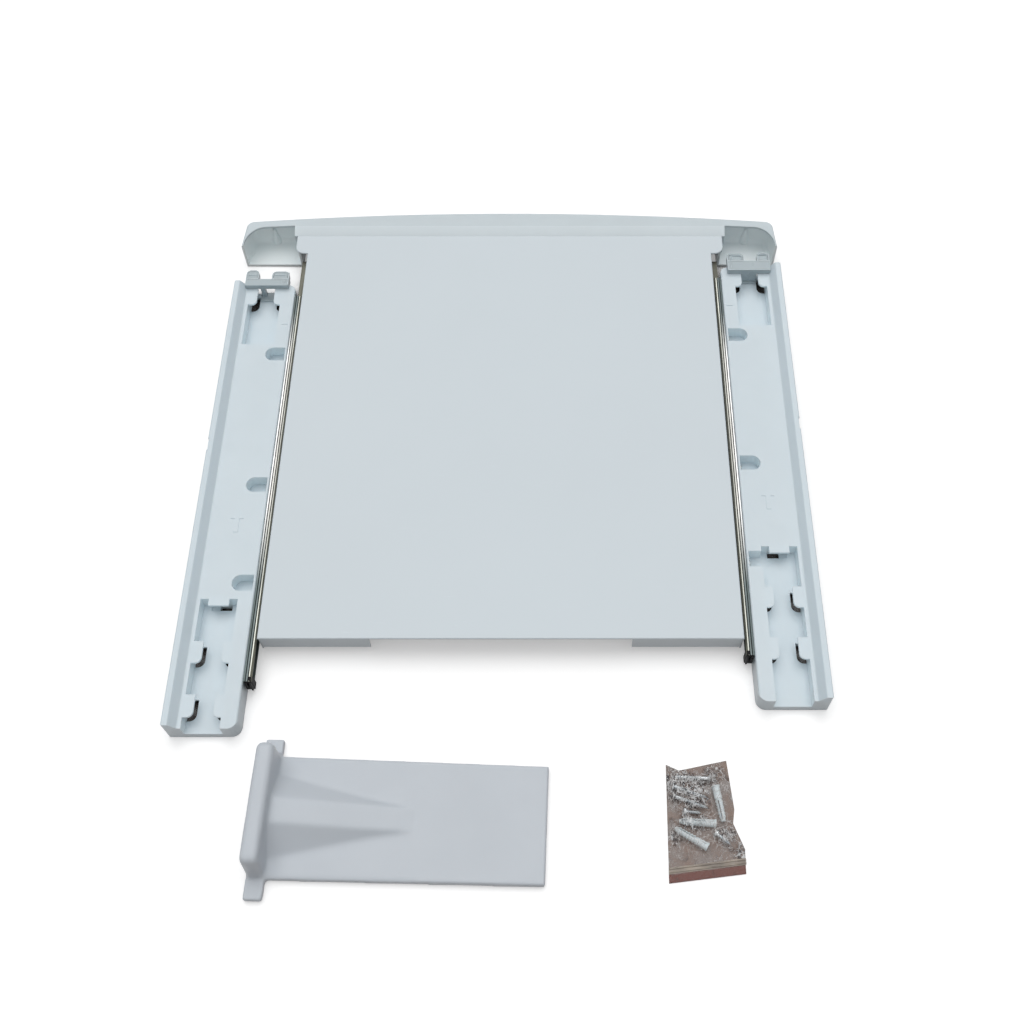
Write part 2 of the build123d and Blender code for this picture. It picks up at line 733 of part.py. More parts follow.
def front_panel():
    """The bowed front panel with its raised lip, hollow middle and two open wings."""
    panel = extrude(panel_outline(0), panel_lip_height)
    top_edges = panel.faces().sort_by(Axis.Z)[-1].edges()
    panel = fillet(top_edges.sort_by(Axis.Y)[1:], panel_edge_radius)
    wall_end = ear_half_width + wing_inner_clearance
    inner_x = wall_end + panel_wall
    body_start = ear_half_width - wing_under_ear
    ear_room_base = shelf_top_height - tray_sheet - wing_inner_clearance
    panel -= block(-body_start, body_start, wing_rear_y - cut_overrun, seam_y, -cut_overrun,
                   panel_lip_height + cut_overrun)
    panel -= block(-inner_x, inner_x, wing_rear_y - cut_overrun, seam_y, ear_room_base,
                   panel_lip_height + cut_overrun)
    slope = Plane.YZ * flat(((seam_y - cut_overrun, shelf_top_height), (seam_y, shelf_top_height),
                             (seam_y + panel_lip_slope, panel_lip_height),
                             (seam_y + panel_lip_slope, panel_lip_height + cut_overrun),
                             (seam_y - cut_overrun, panel_lip_height + cut_overrun)))
    panel -= extrude(slope, inner_x, both=True)
    hollow_half = wall_end - panel_wall
    inner_shape = extrude(panel_outline(panel_wall), panel_lip_height - panel_wall)
    middle_hollow = inner_shape & block(-hollow_half, hollow_half, seam_y + panel_wall, front_apex_y,
                                        -cut_overrun, panel_lip_height)
    under_slope = Plane.YZ * flat(((seam_y, shelf_top_height - panel_wall),
                                   (seam_y + panel_lip_slope, panel_lip_height - panel_wall),
                                   (seam_y + panel_lip_slope, panel_lip_height + cut_overrun),
                                   (seam_y, panel_lip_height + cut_overrun)))
    middle_hollow -= extrude(under_slope, wall_end, both=True)
    panel -= middle_hollow
    panel -= block(-hollow_half, hollow_half, seam_y + panel_wall, front_apex_y - panel_bow - panel_wall,
                   -cut_overrun, wing_floor + cut_overrun)
    pocket_top = panel_lip_height - panel_wall
    wing_room = Pos(0, 0, wing_floor) * extrude(panel_outline(panel_wall), pocket_top - wing_floor)
    for sign in (-1, 1):
        room_end = sign * panel_end_half
        room = wing_room & block(sign * inner_x, room_end, wing_rear_y - cut_overrun, front_apex_y,
                                 wing_floor, pocket_top)
        floor_edges = room.faces().sort_by(Axis.Z)[0].edges().sort_by(Axis.Y)[1:]
        room = fillet([edge for edge in floor_edges if abs(edge.center().X) > inner_x + cut_overrun],
                      wing_cove_radius)
        mouth = block(sign * inner_x, sign * (panel_end_half - panel_wall), wing_rear_y - cut_overrun,
                      wing_rear_y + panel_wall, wing_floor + wing_cove_radius, pocket_top)
        mouth += block(sign * inner_x, sign * (panel_end_half - panel_wall - wing_cove_radius),
                       wing_rear_y - cut_overrun, wing_rear_y + panel_wall, wing_floor, pocket_top)
        opening = Pos(0, 0, wing_floor) * extrude(wing_opening(), panel_lip_height)
        if sign < 0:
            opening = on_left(opening)
        trimmed = opening & block(sign * inner_x, room_end, wing_rear_y - cut_overrun, front_apex_y,
                                  wing_floor, panel_lip_height + cut_overrun)
        under_ear = block(sign * (body_start + panel_wall), sign * (inner_x + cut_overrun),
                          wing_rear_y - cut_overrun, seam_y, wing_floor, ear_room_base + cut_overrun)
        panel -= room + mouth + under_ear
        panel -= trimmed
        panel += wing_gusset(sign)
    for screw_x in panel_screw_places():
        height = panel_screw_height()
        panel += along_y(panel_boss_radius, panel_boss_length, (screw_x, seam_y + panel_wall / 2, height))
        panel -= along_y(panel_screw_radius + screw_hole_clearance, panel_screw_reach, (screw_x, seam_y, height))
    return panel


def wing_gusset(sign):
    """A small cone between a wing's floor and its front wall, which it must not pass through."""
    wall_y = bowed_front_y(gusset_x) - panel_wall
    cone = Pos(sign * gusset_x, wall_y - gusset_top_radius, wing_floor) * Cone(
        gusset_base_radius, gusset_top_radius, gusset_height, align=(Align.CENTER, Align.CENTER, Align.MIN))
    return cone & extrude(panel_outline(panel_wall / 2), panel_lip_height)


def clip_lug(left, right, start, length):
    """One forward lug of a clip, with round front corners and a hollow top."""
    low = deck_height
    high = deck_height + clip_bar_height
    outline = flat(((left, start), (right, start), (right, start + length), (left, start + length)))
    outline = fillet(outline.vertices().sort_by(Axis.Y)[-2:], clip_lug_radius)
    lug = Pos(0, 0, low) * extrude(outline, high - low)
    hollow_outline = offset(outline, -clip_hollow_wall)
    return lug - Pos(0, 0, high - clip_hollow_depth) * extrude(hollow_outline, clip_hollow_depth + cut_overrun)


def front_clip(side):
    """A clip with a foot under the front hooks, a neck, a bar on the deck and two forward lugs."""
    if side == "left":
        neck_start, neck_width, bar_length = left_clip_neck_start, left_clip_neck_width, left_clip_bar_length
    else:
        neck_start, neck_width, bar_length = right_clip_neck_start, right_clip_neck_width, right_clip_bar_length
    bar_end = rail_length + clip_bar_overhang
    bar_start = bar_end - bar_length
    inner = clip_inner_inset
    outer = rail_width - clip_outer_inset
    clip = block(inner, outer, bar_start, bar_end, deck_height, deck_height + clip_bar_height)
    clip -= upright_section(rail_section())
    clip += clip_lug(outer - clip_outer_lug_width, outer, bar_end, clip_lug_length)
    clip += clip_lug(inner, inner + clip_inner_lug_width, bar_end, clip_short_lug_length)
    clip += block(neck_start, neck_start + neck_width, bar_start, rail_length, channel_floor_height, deck_height)
    foot_left = channel_inset + clip_foot_side_gap
    foot_right = channel_inset + channel_width - clip_foot_side_gap
    clip += block(foot_left, foot_right, rail_length - clip_foot_length, rail_length, channel_floor_height,
                  channel_floor_height + clip_foot_thickness)
    return clip


def bracket_outline(inset):
    """The bracket's plate from above, from the flange's outer face, drawn in by inset."""
    half = bracket_width / 2 - inset
    end_half = bracket_end_width / 2 - inset
    return flat(((inset, -half), (bracket_length - inset, -end_half), (bracket_length - inset, end_half),
                 (inset, half)))


def bracket_flange(inset):
    """The bracket's upright flange with its sloped ends, drawn in by inset."""
    near = flange_near_reach - inset
    near_top = near - flange_near_slope_run
    far = flange_far_reach - inset
    high = flange_height - inset
    side = Plane.YZ * flat(((-near, 0), (-near_top, high), (far, high), (far, 0)))
    top_corners = side.vertices().sort_by(Axis.Z)[-2:]
    side = fillet(top_corners, flange_corner_radius - inset)
    return Pos(inset, 0, 0) * extrude(side, flange_thickness - 2 * inset, dir=(1, 0, 0))


def bracket_ridge():
    """The tapered ridge between flange and plate."""
    start = flange_thickness / 2
    base_half = ridge_base_width / 2
    top_half = ridge_top_width / 2
    high = bracket_height + ridge_height
    low = bracket_height - bracket_wall
    tip_high = bracket_height + ridge_tip_height
    root = Plane(origin=(start, 0, 0), x_dir=(0, 1, 0), z_dir=(1, 0, 0))
    tip = Plane(origin=(ridge_length, 0, 0), x_dir=(0, 1, 0), z_dir=(1, 0, 0))
    root_face = root * flat(((-base_half, low), (-top_half, high), (top_half, high), (base_half, low)))
    tip_face = tip * flat(((-top_half, low), (-top_half, tip_high), (top_half, tip_high), (top_half, low)))
    return loft([root_face, tip_face], ruled=True)


def bracket_tab(flange_end, length):
    """A foot tab that runs out from one end of the flange, towards the sign of its length."""
    return block(0, flange_thickness, flange_end, flange_end + length, 0, tab_height)


def rear_bracket():
    """The rear stop bracket: a ribbed plate, an upright flange, a ridge and two foot tabs."""
    plate = extrude(bracket_outline(0), bracket_height)
    plate = fillet(plate.faces().sort_by(Axis.Z)[-1].edges(), bracket_edge_radius)
    flange = bracket_flange(0)
    flange = fillet(flange.faces().filter_by(Axis.X).edges().sort_by(Axis.Z)[2:], flange_edge_radius)
    bracket = plate + flange + bracket_ridge()
    hollow = Pos(0, 0, -cut_overrun) * extrude(bracket_outline(bracket_wall),
                                               bracket_height - bracket_wall + cut_overrun)
    hollow += Pos(0, 0, -cut_overrun) * bracket_flange(bracket_wall)
    bracket -= hollow
    bracket += bracket_ribs()
    bracket += bracket_tab(flange_far_reach - bracket_wall, far_tab_length + bracket_wall)
    bracket += bracket_tab(bracket_wall - flange_near_reach, -near_tab_length - bracket_wall)
    return Pos(bracket_place_x, bracket_place_y, 0) * Rot(0, 0, bracket_turn) * bracket


def bracket_ribs():
    """Low ribs under the bracket's plate."""
    half = bracket_end_width / 2 - bracket_wall / 2
    rib_base = bracket_height - bracket_wall - bracket_rib_height
    rib_top = bracket_height - bracket_wall / 2
    rib_run = bracket_length - flange_thickness
    ribs = block(flange_thickness, bracket_length - bracket_wall / 2, -bracket_wall / 2, bracket_wall / 2,
                 rib_base, rib_top)
    rib_count = round(rib_run / underside_rib_pitch)
    for index in range(1, rib_count):
        rib_x = flange_thickness + index * rib_run / rib_count
        ribs += block(rib_x - bracket_wall / 2, rib_x + bracket_wall / 2, -half, half, rib_base, rib_top)
    return ribs


def bag_face(shares, pull_share, height):
    """A flat outline of the bag at a height, pulled in towards its middle by a share."""
    middle_x_share = sum(x_share for x_share, y_share in shares) / len(shares)
    middle_y_share = sum(y_share for x_share, y_share in shares) / len(shares)
    points = [(bag_width * (middle_x_share + (x_share - middle_x_share) * pull_share),
               bag_length * (middle_y_share + (y_share - middle_y_share) * pull_share))
              for x_share, y_share in shares]
    return Pos(0, 0, height) * flat(points)


def bag_pillow(film):
    """The puffed part of the bag between its seams, drawn in by film."""
    film_share = 1 - 4 * film / bag_width
    foot = bag_face(bag_pillow_shares, film_share, film)
    crown = bag_face(bag_pillow_shares, bag_crown_share * film_share, bag_height - film)
    return loft([foot, crown], ruled=True)


def fixings_bag():
    """The film bag: a flat seam all round and a hollow, puffed middle."""
    seam = extrude(bag_face(bag_outline_shares, 1, 0), 2 * bag_film)
    bag = seam + bag_pillow(0)
    bag -= bag_pillow(bag_film)
    return Pos(bag_place_x, bag_place_y, 0) * bag


def zip_strip():
    """The press-to-close strip across the bag's flat end."""
    band = Pos(bag_width / 2, zip_seat) * Rot(0, 0, zip_turn) * Rectangle(2 * bag_width, zip_width)
    outline = bag_face(bag_outline_shares, 1, 0) & band
    strip = Pos(0, 0, 2 * bag_film) * extrude(outline, zip_thickness)
    return Pos(bag_place_x, bag_place_y, 0) * strip


def lying(shape, x_share, y_share, turn, height):
    """A fixing that lies in the bag, at shares of the bag's width and length."""
    place = (bag_place_x + bag_width * x_share, bag_place_y + bag_length * y_share, height)
    return Pos(*place) * Rot(0, 0, turn) * shape


def long_screw():
    """A countersunk wood screw, along X from its head."""
    head_height = long_screw_head_radius - long_screw_radius
    align = (Align.CENTER, Align.CENTER, Align.MIN)
    head = Cone(long_screw_head_radius, long_screw_radius, head_height, align=align)
    body_length = long_screw_length - head_height - long_screw_point
    body = Pos(0, 0, head_height) * Cylinder(long_screw_radius, body_length, align=align)
    point = Pos(0, 0, head_height + body_length) * Cone(long_screw_radius, 0, long_screw_point, align=align)
    return Rot(0, 90, 0) * (head + body + point)


def short_screw():
    """A pan-head tapping screw, along X from its head."""
    align = (Align.CENTER, Align.CENTER, Align.MIN)
    head = Cylinder(short_screw_head_radius, short_screw_head_height, align=align)
    head = fillet(head.edges().sort_by(Axis.Z)[0], short_screw_head_height / 2)
    body_length = short_screw_length - short_screw_point
    body = Pos(0, 0, short_screw_head_height) * Cylinder(short_screw_radius, body_length, align=align)
    tip_start = short_screw_head_height + body_length
    point = Pos(0, 0, tip_start) * Cone(short_screw_radius, 0, short_screw_point, align=align)
    return Rot(0, 90, 0) * (head + body + point)


def wall_plug():
    """A split wall plug, along X from its collar."""
    align = (Align.CENTER, Align.CENTER, Align.MIN)
    collar = Cylinder(plug_collar_radius, plug_collar_length, align=align)
    body_length = plug_length - plug_collar_length
    body = Pos(0, 0, plug_collar_length) * Cone(plug_radius, plug_tip_radius, body_length, align=align)
    plug = collar + body
    plug -= Cylinder(plug_bore_radius, plug_length - plug_split_width, align=align)
    split_start = plug_length - plug_split_length
    plug -= Pos(0, 0, split_start) * Box(2 * plug_radius + cut_overrun, plug_split_width,
                                         plug_split_length + cut_overrun, align=align)
    plug += Pos(0, 0, plug_length - plug_collar_length) * Cylinder(plug_tip_radius, plug_collar_length, align=align)
    return Rot(0, 90, 0) * plug


long_screw_lay_shares = ((0.1, 0.775, -20.0), (0.11, 0.69, -20.0), (0.59, 0.835, 177.0))
short_screw_lay_shares = ((0.22, 0.565, -5.0), (0.62, 0.395, -40.0))
plug_lay_shares = ((0.665, 0.775, -81.0), (0.64, 0.465, 176.0), (0.515, 0.275, 149.0))


def laid_out(shape, lay_shares, radius):
    """Copies of one fixing, laid side by side on the bag's floor."""
    height = bag_film + fixing_gap + radius
    return [lying(shape, x_share, y_share, turn, height) for x_share, y_share, turn in lay_shares]


def all_nodes():
    """Every node by name: a shape, or a list of separate solids."""
    nodes = {"shelf_tray": shelf_tray(), "front_panel": front_panel(), "front_panel_screws": panel_screws()}
    shelf_screws = [shelf_screw(place) for place in shelf_screw_places]
    nodes["right_inner_runner"] = inner_member()
    nodes["left_inner_runner"] = on_left(inner_member())
    nodes["inner_runner_screws"] = shelf_screws + [on_left(screw) for screw in shelf_screws]
    for side in ("left", "right"):
        rear = rail_rear_y(side)
        runner_rear = rear + runner_rear_inset
        nodes[side + "_rail"] = place_on_side(rail_moulding(side), side, rear)
        nodes[side + "_outer_runner"] = place_on_side(outer_member(), side, runner_rear)
        nodes[side + "_runner_stopper"] = place_on_side(rear_stopper(), side, runner_rear)
        nodes[side + "_runner_screws"] = [place_on_side(screw, side, rear) for screw in runner_screws()]
        nodes[side + "_front_clip"] = place_on_side(front_clip(side), side, rear)
        cage = ball_cage(side)
        cage_balls = balls(side)
        if side == "left":
            cage = on_left(cage)
            cage_balls = [on_left(ball) for ball in cage_balls]
        nodes[side + "_ball_cage"] = cage
        nodes[side + "_runner_balls"] = cage_balls
    nodes["rear_stop_bracket"] = rear_bracket()
    nodes["fixings_bag"] = fixings_bag()
    nodes["bag_zip_strip"] = zip_strip()
    nodes["long_screws"] = laid_out(long_screw(), long_screw_lay_shares, long_screw_head_radius)
    nodes["short_screws"] = laid_out(short_screw(), short_screw_lay_shares, short_screw_head_radius)
    nodes["wall_plugs"] = laid_out(wall_plug(), plug_lay_shares, plug_collar_radius)
    return nodes


def solids_of(shape):
    """A node's separate solids."""
    if isinstance(shape, list):
        return [solid for piece in shape for solid in piece.solids()]
    return list(shape.solids())


drawn = {name: solids_of(shape) for name, shape in all_nodes().items()}
whole_box = Compound([solid for solids in drawn.values() for solid in solids]).bounding_box()
origin_x = (whole_box.min.X + whole_box.max.X) / 2
origin_y = (whole_box.min.Y + whole_box.max.Y) / 2
origin_z = whole_box.min.Z
to_origin = Pos(-origin_x, -origin_y, -origin_z)
nodes = {name: Compound([to_origin * solid for solid in solids]) for name, solids in drawn.items()}

if __name__ == "__main__":
    os.makedirs("parts", exist_ok=True)
    for name, shape in nodes.items():
        export_step(shape, "parts/" + name + ".step")
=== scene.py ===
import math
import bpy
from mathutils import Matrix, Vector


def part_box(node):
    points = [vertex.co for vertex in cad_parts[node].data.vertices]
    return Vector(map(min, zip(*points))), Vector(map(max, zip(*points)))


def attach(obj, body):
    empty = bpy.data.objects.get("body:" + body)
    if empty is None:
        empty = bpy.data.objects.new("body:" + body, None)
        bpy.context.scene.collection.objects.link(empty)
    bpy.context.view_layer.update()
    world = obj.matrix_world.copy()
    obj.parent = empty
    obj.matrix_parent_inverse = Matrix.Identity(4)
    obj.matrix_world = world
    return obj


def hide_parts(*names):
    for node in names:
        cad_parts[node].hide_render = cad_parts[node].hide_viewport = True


bl_info = {
    "name": "Dryer Stacking Kit",
    "version": (1, 0, 0),
    "blender": (4, 5, 0),
    "location": "3D View > Sidebar > Stacking Kit",
    "description": "Shapes and finishes the pieces of a dryer stacking kit with a pull-out shelf",
    "category": "Object",
}

import bmesh
import bpy
from mathutils import Vector, noise
from mathutils.bvhtree import BVHTree

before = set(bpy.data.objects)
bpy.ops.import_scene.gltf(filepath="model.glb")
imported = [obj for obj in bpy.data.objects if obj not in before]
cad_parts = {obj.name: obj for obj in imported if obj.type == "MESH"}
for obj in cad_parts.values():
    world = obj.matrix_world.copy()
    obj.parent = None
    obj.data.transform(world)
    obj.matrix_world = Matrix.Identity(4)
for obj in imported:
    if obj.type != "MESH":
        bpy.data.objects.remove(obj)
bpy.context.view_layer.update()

MM = 0.001
SIDES = ("left", "right")

# Gaps in metres and angles in degrees, within which points merge, faces are one and shading is smooth

SEAM_GAP = 0.000002
MERGE_GAP = 0.00001
WIDE_MERGE_GAP = 0.0001
FLAT_WITHIN = 0.6
SMOOTH_WITHIN = 38


# Small tools for shaping pieces

def leave_edit():
    """Goes back from editing a mesh to the pieces as a whole."""
    bpy.ops.object.mode_set(mode="OBJECT")


def choose(piece):
    """Selects one piece alone and makes it the active one."""
    if bpy.context.object and bpy.context.object.mode != "OBJECT":
        leave_edit()
    bpy.ops.object.select_all(action="DESELECT")
    piece.select_set(True)
    bpy.context.view_layer.objects.active = piece


def edit_all(piece):
    """Opens one piece for editing and selects all of it."""
    choose(piece)
    bpy.ops.object.mode_set(mode="EDIT")
    bpy.ops.mesh.select_all(action="SELECT")


def added(add, name, **settings):
    """What one of Blender's calls for a new shape, light or camera adds, with its name."""
    bpy.ops.object.select_all(action="DESELECT")
    add(**settings)
    piece = bpy.context.object
    piece.name = name
    return piece


def start_block(name, low, high):
    """A block between two corners, ready to be shaped."""
    low, high = Vector(low), Vector(high)
    piece = added(bpy.ops.mesh.primitive_cube_add, name, size=1, location=(low + high) / 2)
    piece.scale = high - low
    settle(piece)
    return piece


def outlined(name, points):
    """An open line of points. Each point gives its place along X and its distance from the X axis."""
    piece = added(bpy.ops.mesh.primitive_circle_add, name, vertices=len(points), fill_type="NOTHING")
    ends = {0, len(points) - 1}
    pick(piece, "EDGE", lambda edge: {vertex.index for vertex in edge.verts} == ends)
    bpy.ops.mesh.delete(type="EDGE")
    leave_edit()
    for vertex, (along, out) in zip(piece.data.vertices, points):
        vertex.co = (along, 0, out)
    return piece


def close_up(piece):
    """Merges doubled points, fills what is open and turns all faces outwards."""
    edit_all(piece)
    bpy.ops.mesh.remove_doubles(threshold=SEAM_GAP)
    bpy.ops.mesh.select_mode(type="EDGE")
    bpy.ops.mesh.select_all(action="DESELECT")
    bpy.ops.mesh.select_non_manifold(extend=False, use_wire=False, use_multi_face=False,
                                     use_non_contiguous=False, use_verts=False)
    bpy.ops.mesh.fill_holes(sides=0)
    face_outwards()


def face_outwards():
    """Turns all faces outwards and leaves the edit mode."""
    bpy.ops.mesh.select_all(action="SELECT")
    bpy.ops.mesh.normals_make_consistent(inside=False)
    leave_edit()


def pull_out(piece, way):
    """Extrudes a flat piece into a closed one."""
    edit_all(piece)
    bpy.ops.mesh.extrude_region_move(TRANSFORM_OT_translate={"value": way})
    face_outwards()


def turned(name, points, steps):
    """A round shape, spun about the X axis from its outline."""
    piece = outlined(name, points)
    edit_all(piece)
    bpy.ops.mesh.spin(steps=steps, angle=math.tau, center=(0, 0, 0), axis=(1, 0, 0))
    leave_edit()
    close_up(piece)
    return piece


def threaded(name, start, end, core, crest, pitch):
    """A screw thread about the X axis, from start to end."""
    ridge = ((0, core), (0.25 * pitch, core), (0.55 * pitch, crest), (0.65 * pitch, crest), (pitch, core))
    piece = outlined(name, [(start + along, out) for along, out in ridge])
    apply_modifier(piece, "SCREW", axis="X", angle=math.tau, screw_offset=pitch, steps=14, render_steps=14,
                   iterations=round((end - start) / pitch) - 1, use_merge_vertices=False)
    close_up(piece)
    return piece


def combine(piece, other, operation="UNION"):
    """Adds another shape to a piece, or cuts it out, and deletes the other shape."""
    apply_modifier(piece, "BOOLEAN", operation=operation, solver="EXACT", object=other)
    bpy.data.objects.remove(other)


def copied(piece, name, place, turn=(0, 0, 0)):
    """A copy of a piece with its own mesh, turned and moved."""
    choose(piece)
    bpy.ops.object.duplicate()
    copy = bpy.context.object
    copy.name = name
    copy.rotation_euler = turn
    copy.location = place
    settle(copy)
    return copy


def settle(piece):
    """Puts the place, turn and size of a piece into its mesh."""
    choose(piece)
    bpy.ops.object.transform_apply(location=True, rotation=True, scale=True)


def apply_modifier(piece, kind, **settings):
    """Adds a modifier with its settings and applies it at once."""
    choose(piece)
    modifier = piece.modifiers.new(kind.title(), kind)
    for key, value in settings.items():
        setattr(modifier, key, value)
    bpy.ops.object.modifier_apply(modifier=modifier.name)


def pick(piece, kind, test):
    """In edit mode, selects the faces or edges that pass a test."""
    choose(piece)
    bpy.ops.object.mode_set(mode="EDIT")
    bpy.ops.mesh.select_mode(type=kind)
    bpy.ops.mesh.select_all(action="DESELECT")
    shape = bmesh.from_edit_mesh(piece.data)
    for part in shape.faces if kind == "FACE" else shape.edges:
        if test(part):
            part.select_set(True)
    bmesh.update_edit_mesh(piece.data)


def smooth(piece, degrees):
    """Shades a piece smooth, except at edges that turn by more than an angle."""
    choose(piece)
    bpy.ops.object.shade_smooth_by_angle(angle=math.radians(degrees))


def soften(piece, width, segments=2, degrees=30.0, corner="MITER_ARC"):
    """Rounds every edge sharper than the angle and shades the piece smooth."""
    apply_modifier(piece, "BEVEL", width=width, segments=segments, limit_method="ANGLE",
                   angle_limit=math.radians(degrees), harden_normals=False, miter_outer=corner)
    smooth(piece, SMOOTH_WITHIN)
    apply_modifier(piece, "WEIGHTED_NORMAL", mode="FACE_AREA", weight=50, keep_sharp=True)


def merged_copy(node, name, gap=MERGE_GAP):
    """A copy of a CAD node whose loose triangles are merged into clean flat faces."""
    piece = bpy.data.objects.new(name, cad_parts[node].data.copy())
    bpy.context.collection.objects.link(piece)
    piece.data.materials.clear()
    edit_all(piece)
    bpy.ops.mesh.remove_doubles(threshold=gap)
    bpy.ops.mesh.dissolve_limited(angle_limit=math.radians(FLAT_WITHIN))
    leave_edit()
    return piece


def join_pieces(pieces, name):
    """Joins several shapes into one piece."""
    choose(pieces[0])
    for piece in pieces[1:]:
        piece.select_set(True)
    bpy.ops.object.join()
    joined = bpy.context.object
    joined.name = name
    return joined


def cover(piece, material):
    """Gives a piece one material in place of all it had."""
    piece.data.materials.clear()
    piece.data.materials.append(material)


def dress(piece, material, slot, body, *nodes):
    """Gives a finished piece its material and body, and lets it stand for CAD nodes. The slot is not used."""
    cover(piece, material)
    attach(piece, body)
    if nodes:
        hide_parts(*nodes)


def dress_node(node, material):
    """Gives a CAD node that keeps its shape a material."""
    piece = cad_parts[node]
    cover(piece, material)


# Materials

def new_material(name):
    """A material whose node tree is empty, and that tree."""
    material = bpy.data.materials.get(name)
    if material:
        bpy.data.materials.remove(material)
    material = bpy.data.materials.new(name)
    material.use_nodes = True
    material.node_tree.nodes.clear()
    return material, material.node_tree


def add_node(tree, kind, inputs=None, **settings):
    """Adds a node with its settings. An input is a plain value or another node's socket."""
    node = tree.nodes.new(kind)
    for key, value in settings.items():
        setattr(node, key, value)
    for key, value in (inputs or {}).items():
        if isinstance(value, bpy.types.NodeSocket):
            tree.links.new(value, node.inputs[key])
        else:
            node.inputs[key].default_value = value
    return node


def maths(tree, operation, *values, clamp=False):
    """What a maths node makes of some values, each a number or another node's socket."""
    inputs = dict(enumerate(values))
    return add_node(tree, "ShaderNodeMath", inputs, operation=operation, use_clamp=clamp).outputs[0]


def coordinates(tree, kind="Object"):
    """The X, Y and Z of a place on the piece, or of a way into the sky."""
    place = add_node(tree, "ShaderNodeTexCoord")
    return add_node(tree, "ShaderNodeSeparateXYZ", {0: place.outputs[kind]}).outputs


def looking(tree):
    """One for the rays that look at a thing, also by a mirror or through film, and zero for the light it gives."""
    ray = add_node(tree, "ShaderNodeLightPath").outputs
    seen = maths(tree, "MAXIMUM", ray["Is Camera Ray"], ray["Is Glossy Ray"])
    return maths(tree, "MAXIMUM", seen, ray["Is Transmission Ray"])


def pattern(tree, scale, detail=3.0, stretch=(1, 1, 1), roughness=0.5, distortion=0.0):
    """A noise pattern on the piece's own coordinates, with its size in repeats per metre."""
    place = add_node(tree, "ShaderNodeTexCoord")
    stretched = add_node(tree, "ShaderNodeMapping", {"Vector": place.outputs["Object"], "Scale": stretch})
    made = add_node(tree, "ShaderNodeTexNoise",
                    {"Vector": stretched.outputs[0], "Scale": scale, "Detail": detail, "Roughness": roughness,
                     "Distortion": distortion})
    return made.outputs[0]


def ranged(tree, value, low_from, high_from, low_to=0.0, high_to=1.0):
    """Turns one range of values into another."""
    node = add_node(tree, "ShaderNodeMapRange", {"Value": value, "From Min": low_from, "From Max": high_from,
                                                 "To Min": low_to, "To Max": high_to})
    return node.outputs[0]


def between(tree, share, first, second):
    """Mixes two numbers by a share."""
    return add_node(tree, "ShaderNodeMix", {0: share, 2: first, 3: second}).outputs[0]


def mixed(tree, share, first, second):
    """Mixes two colours by a share."""
    return add_node(tree, "ShaderNodeMix", {0: share, 6: first, 7: second}, data_type="RGBA").outputs[2]


def shaded(colour, share):
    """A colour made darker or lighter by a share."""
    return (*[min(1.0, part * share) for part in colour[:3]], 1.0)


def full(colour):
    """A colour that covers fully."""
    return (*colour[:3], 1.0)


def bumped(tree, height, distance, strength, under=None):
    """A bump from a height pattern, over another bump."""
    inputs = {"Height": height, "Distance": distance, "Strength": strength}
    if under is not None:
        inputs["Normal"] = under
    return add_node(tree, "ShaderNodeBump", inputs).outputs[0]


def close_material(tree, shader):
    """Joins a shader to the material's output."""
    add_node(tree, "ShaderNodeOutputMaterial", {"Surface": shader.outputs[0]})


def finish_surface(material, base, gloss, inputs):
    """Closes a material with a surface of a base colour, a roughness and what else is given."""
    tree = material.node_tree
    surface = add_node(tree, "ShaderNodeBsdfPrincipled", {"Base Color": base, "Roughness": gloss, **inputs})
    close_material(tree, surface)
    return material


def plastic(name, colour, roughness=0.42, glow=0.0, depth=0.004, specular=0.4):
    """Moulded plastic: a fine grain, faint flow shades, light that enters it and a little dust."""
    material, tree = new_material(name)
    flow = pattern(tree, 11.0, 2.0, (1.0, 0.35, 1.0))
    cloud = pattern(tree, 60.0, 4.0)
    base = mixed(tree, ranged(tree, flow, 0.35, 0.65), shaded(colour, 0.985), shaded(colour, 1.012))
    base = mixed(tree, ranged(tree, cloud, 0.3, 0.7, 0.0, 0.35), base, shaded(colour, 0.97))
    dust = ranged(tree, pattern(tree, 420.0, 2.0, roughness=0.7), 0.7, 0.76, 0.0, 0.25)
    base = mixed(tree, dust, base, shaded(colour, 0.82))
    gloss = ranged(tree, pattern(tree, 35.0, 3.0), 0.3, 0.7, roughness - 0.05, roughness + 0.06)
    waves = bumped(tree, pattern(tree, 9.0, 1.0), 0.0004, 0.5)
    grain = bumped(tree, pattern(tree, 1400.0, 2.0), 0.00002, 0.6, waves)
    inputs = {"Normal": grain, "Specular IOR Level": specular}
    if glow:
        inputs["Subsurface Weight"] = glow
        inputs["Subsurface Radius"] = (0.9 * depth, depth, 1.05 * depth)
        inputs["Subsurface Scale"] = 1.0
    return finish_surface(material, base, gloss, inputs)


def painted_sheet(name, colour):
    """Powder coated steel sheet: orange peel, soft shades and a few fine scuffs."""
    material, tree = new_material(name)
    cloud = pattern(tree, 5.0, 3.0)
    base = mixed(tree, ranged(tree, cloud, 0.35, 0.65), shaded(colour, 0.993), shaded(colour, 1.006))
    specks = ranged(tree, pattern(tree, 300.0, 2.0, roughness=0.75), 0.72, 0.78, 0.0, 0.2)
    base = mixed(tree, specks, base, shaded(colour, 0.9))
    scuffs = ranged(tree, pattern(tree, 40.0, 4.0, (1.0, 12.0, 1.0), 0.6, 0.4), 0.66, 0.74, 0.0, 0.25)
    base = mixed(tree, scuffs, base, shaded(colour, 1.12))
    gloss = ranged(tree, pattern(tree, 28.0, 3.0), 0.3, 0.7, 0.36, 0.385)
    peel = bumped(tree, pattern(tree, 700.0, 2.0), 0.00003, 0.5)
    fine = bumped(tree, pattern(tree, 2600.0, 1.0), 0.00001, 0.4, peel)
    return finish_surface(material, base, gloss, {"Normal": fine, "Specular IOR Level": 0.45})


# How steel's patterns are stretched

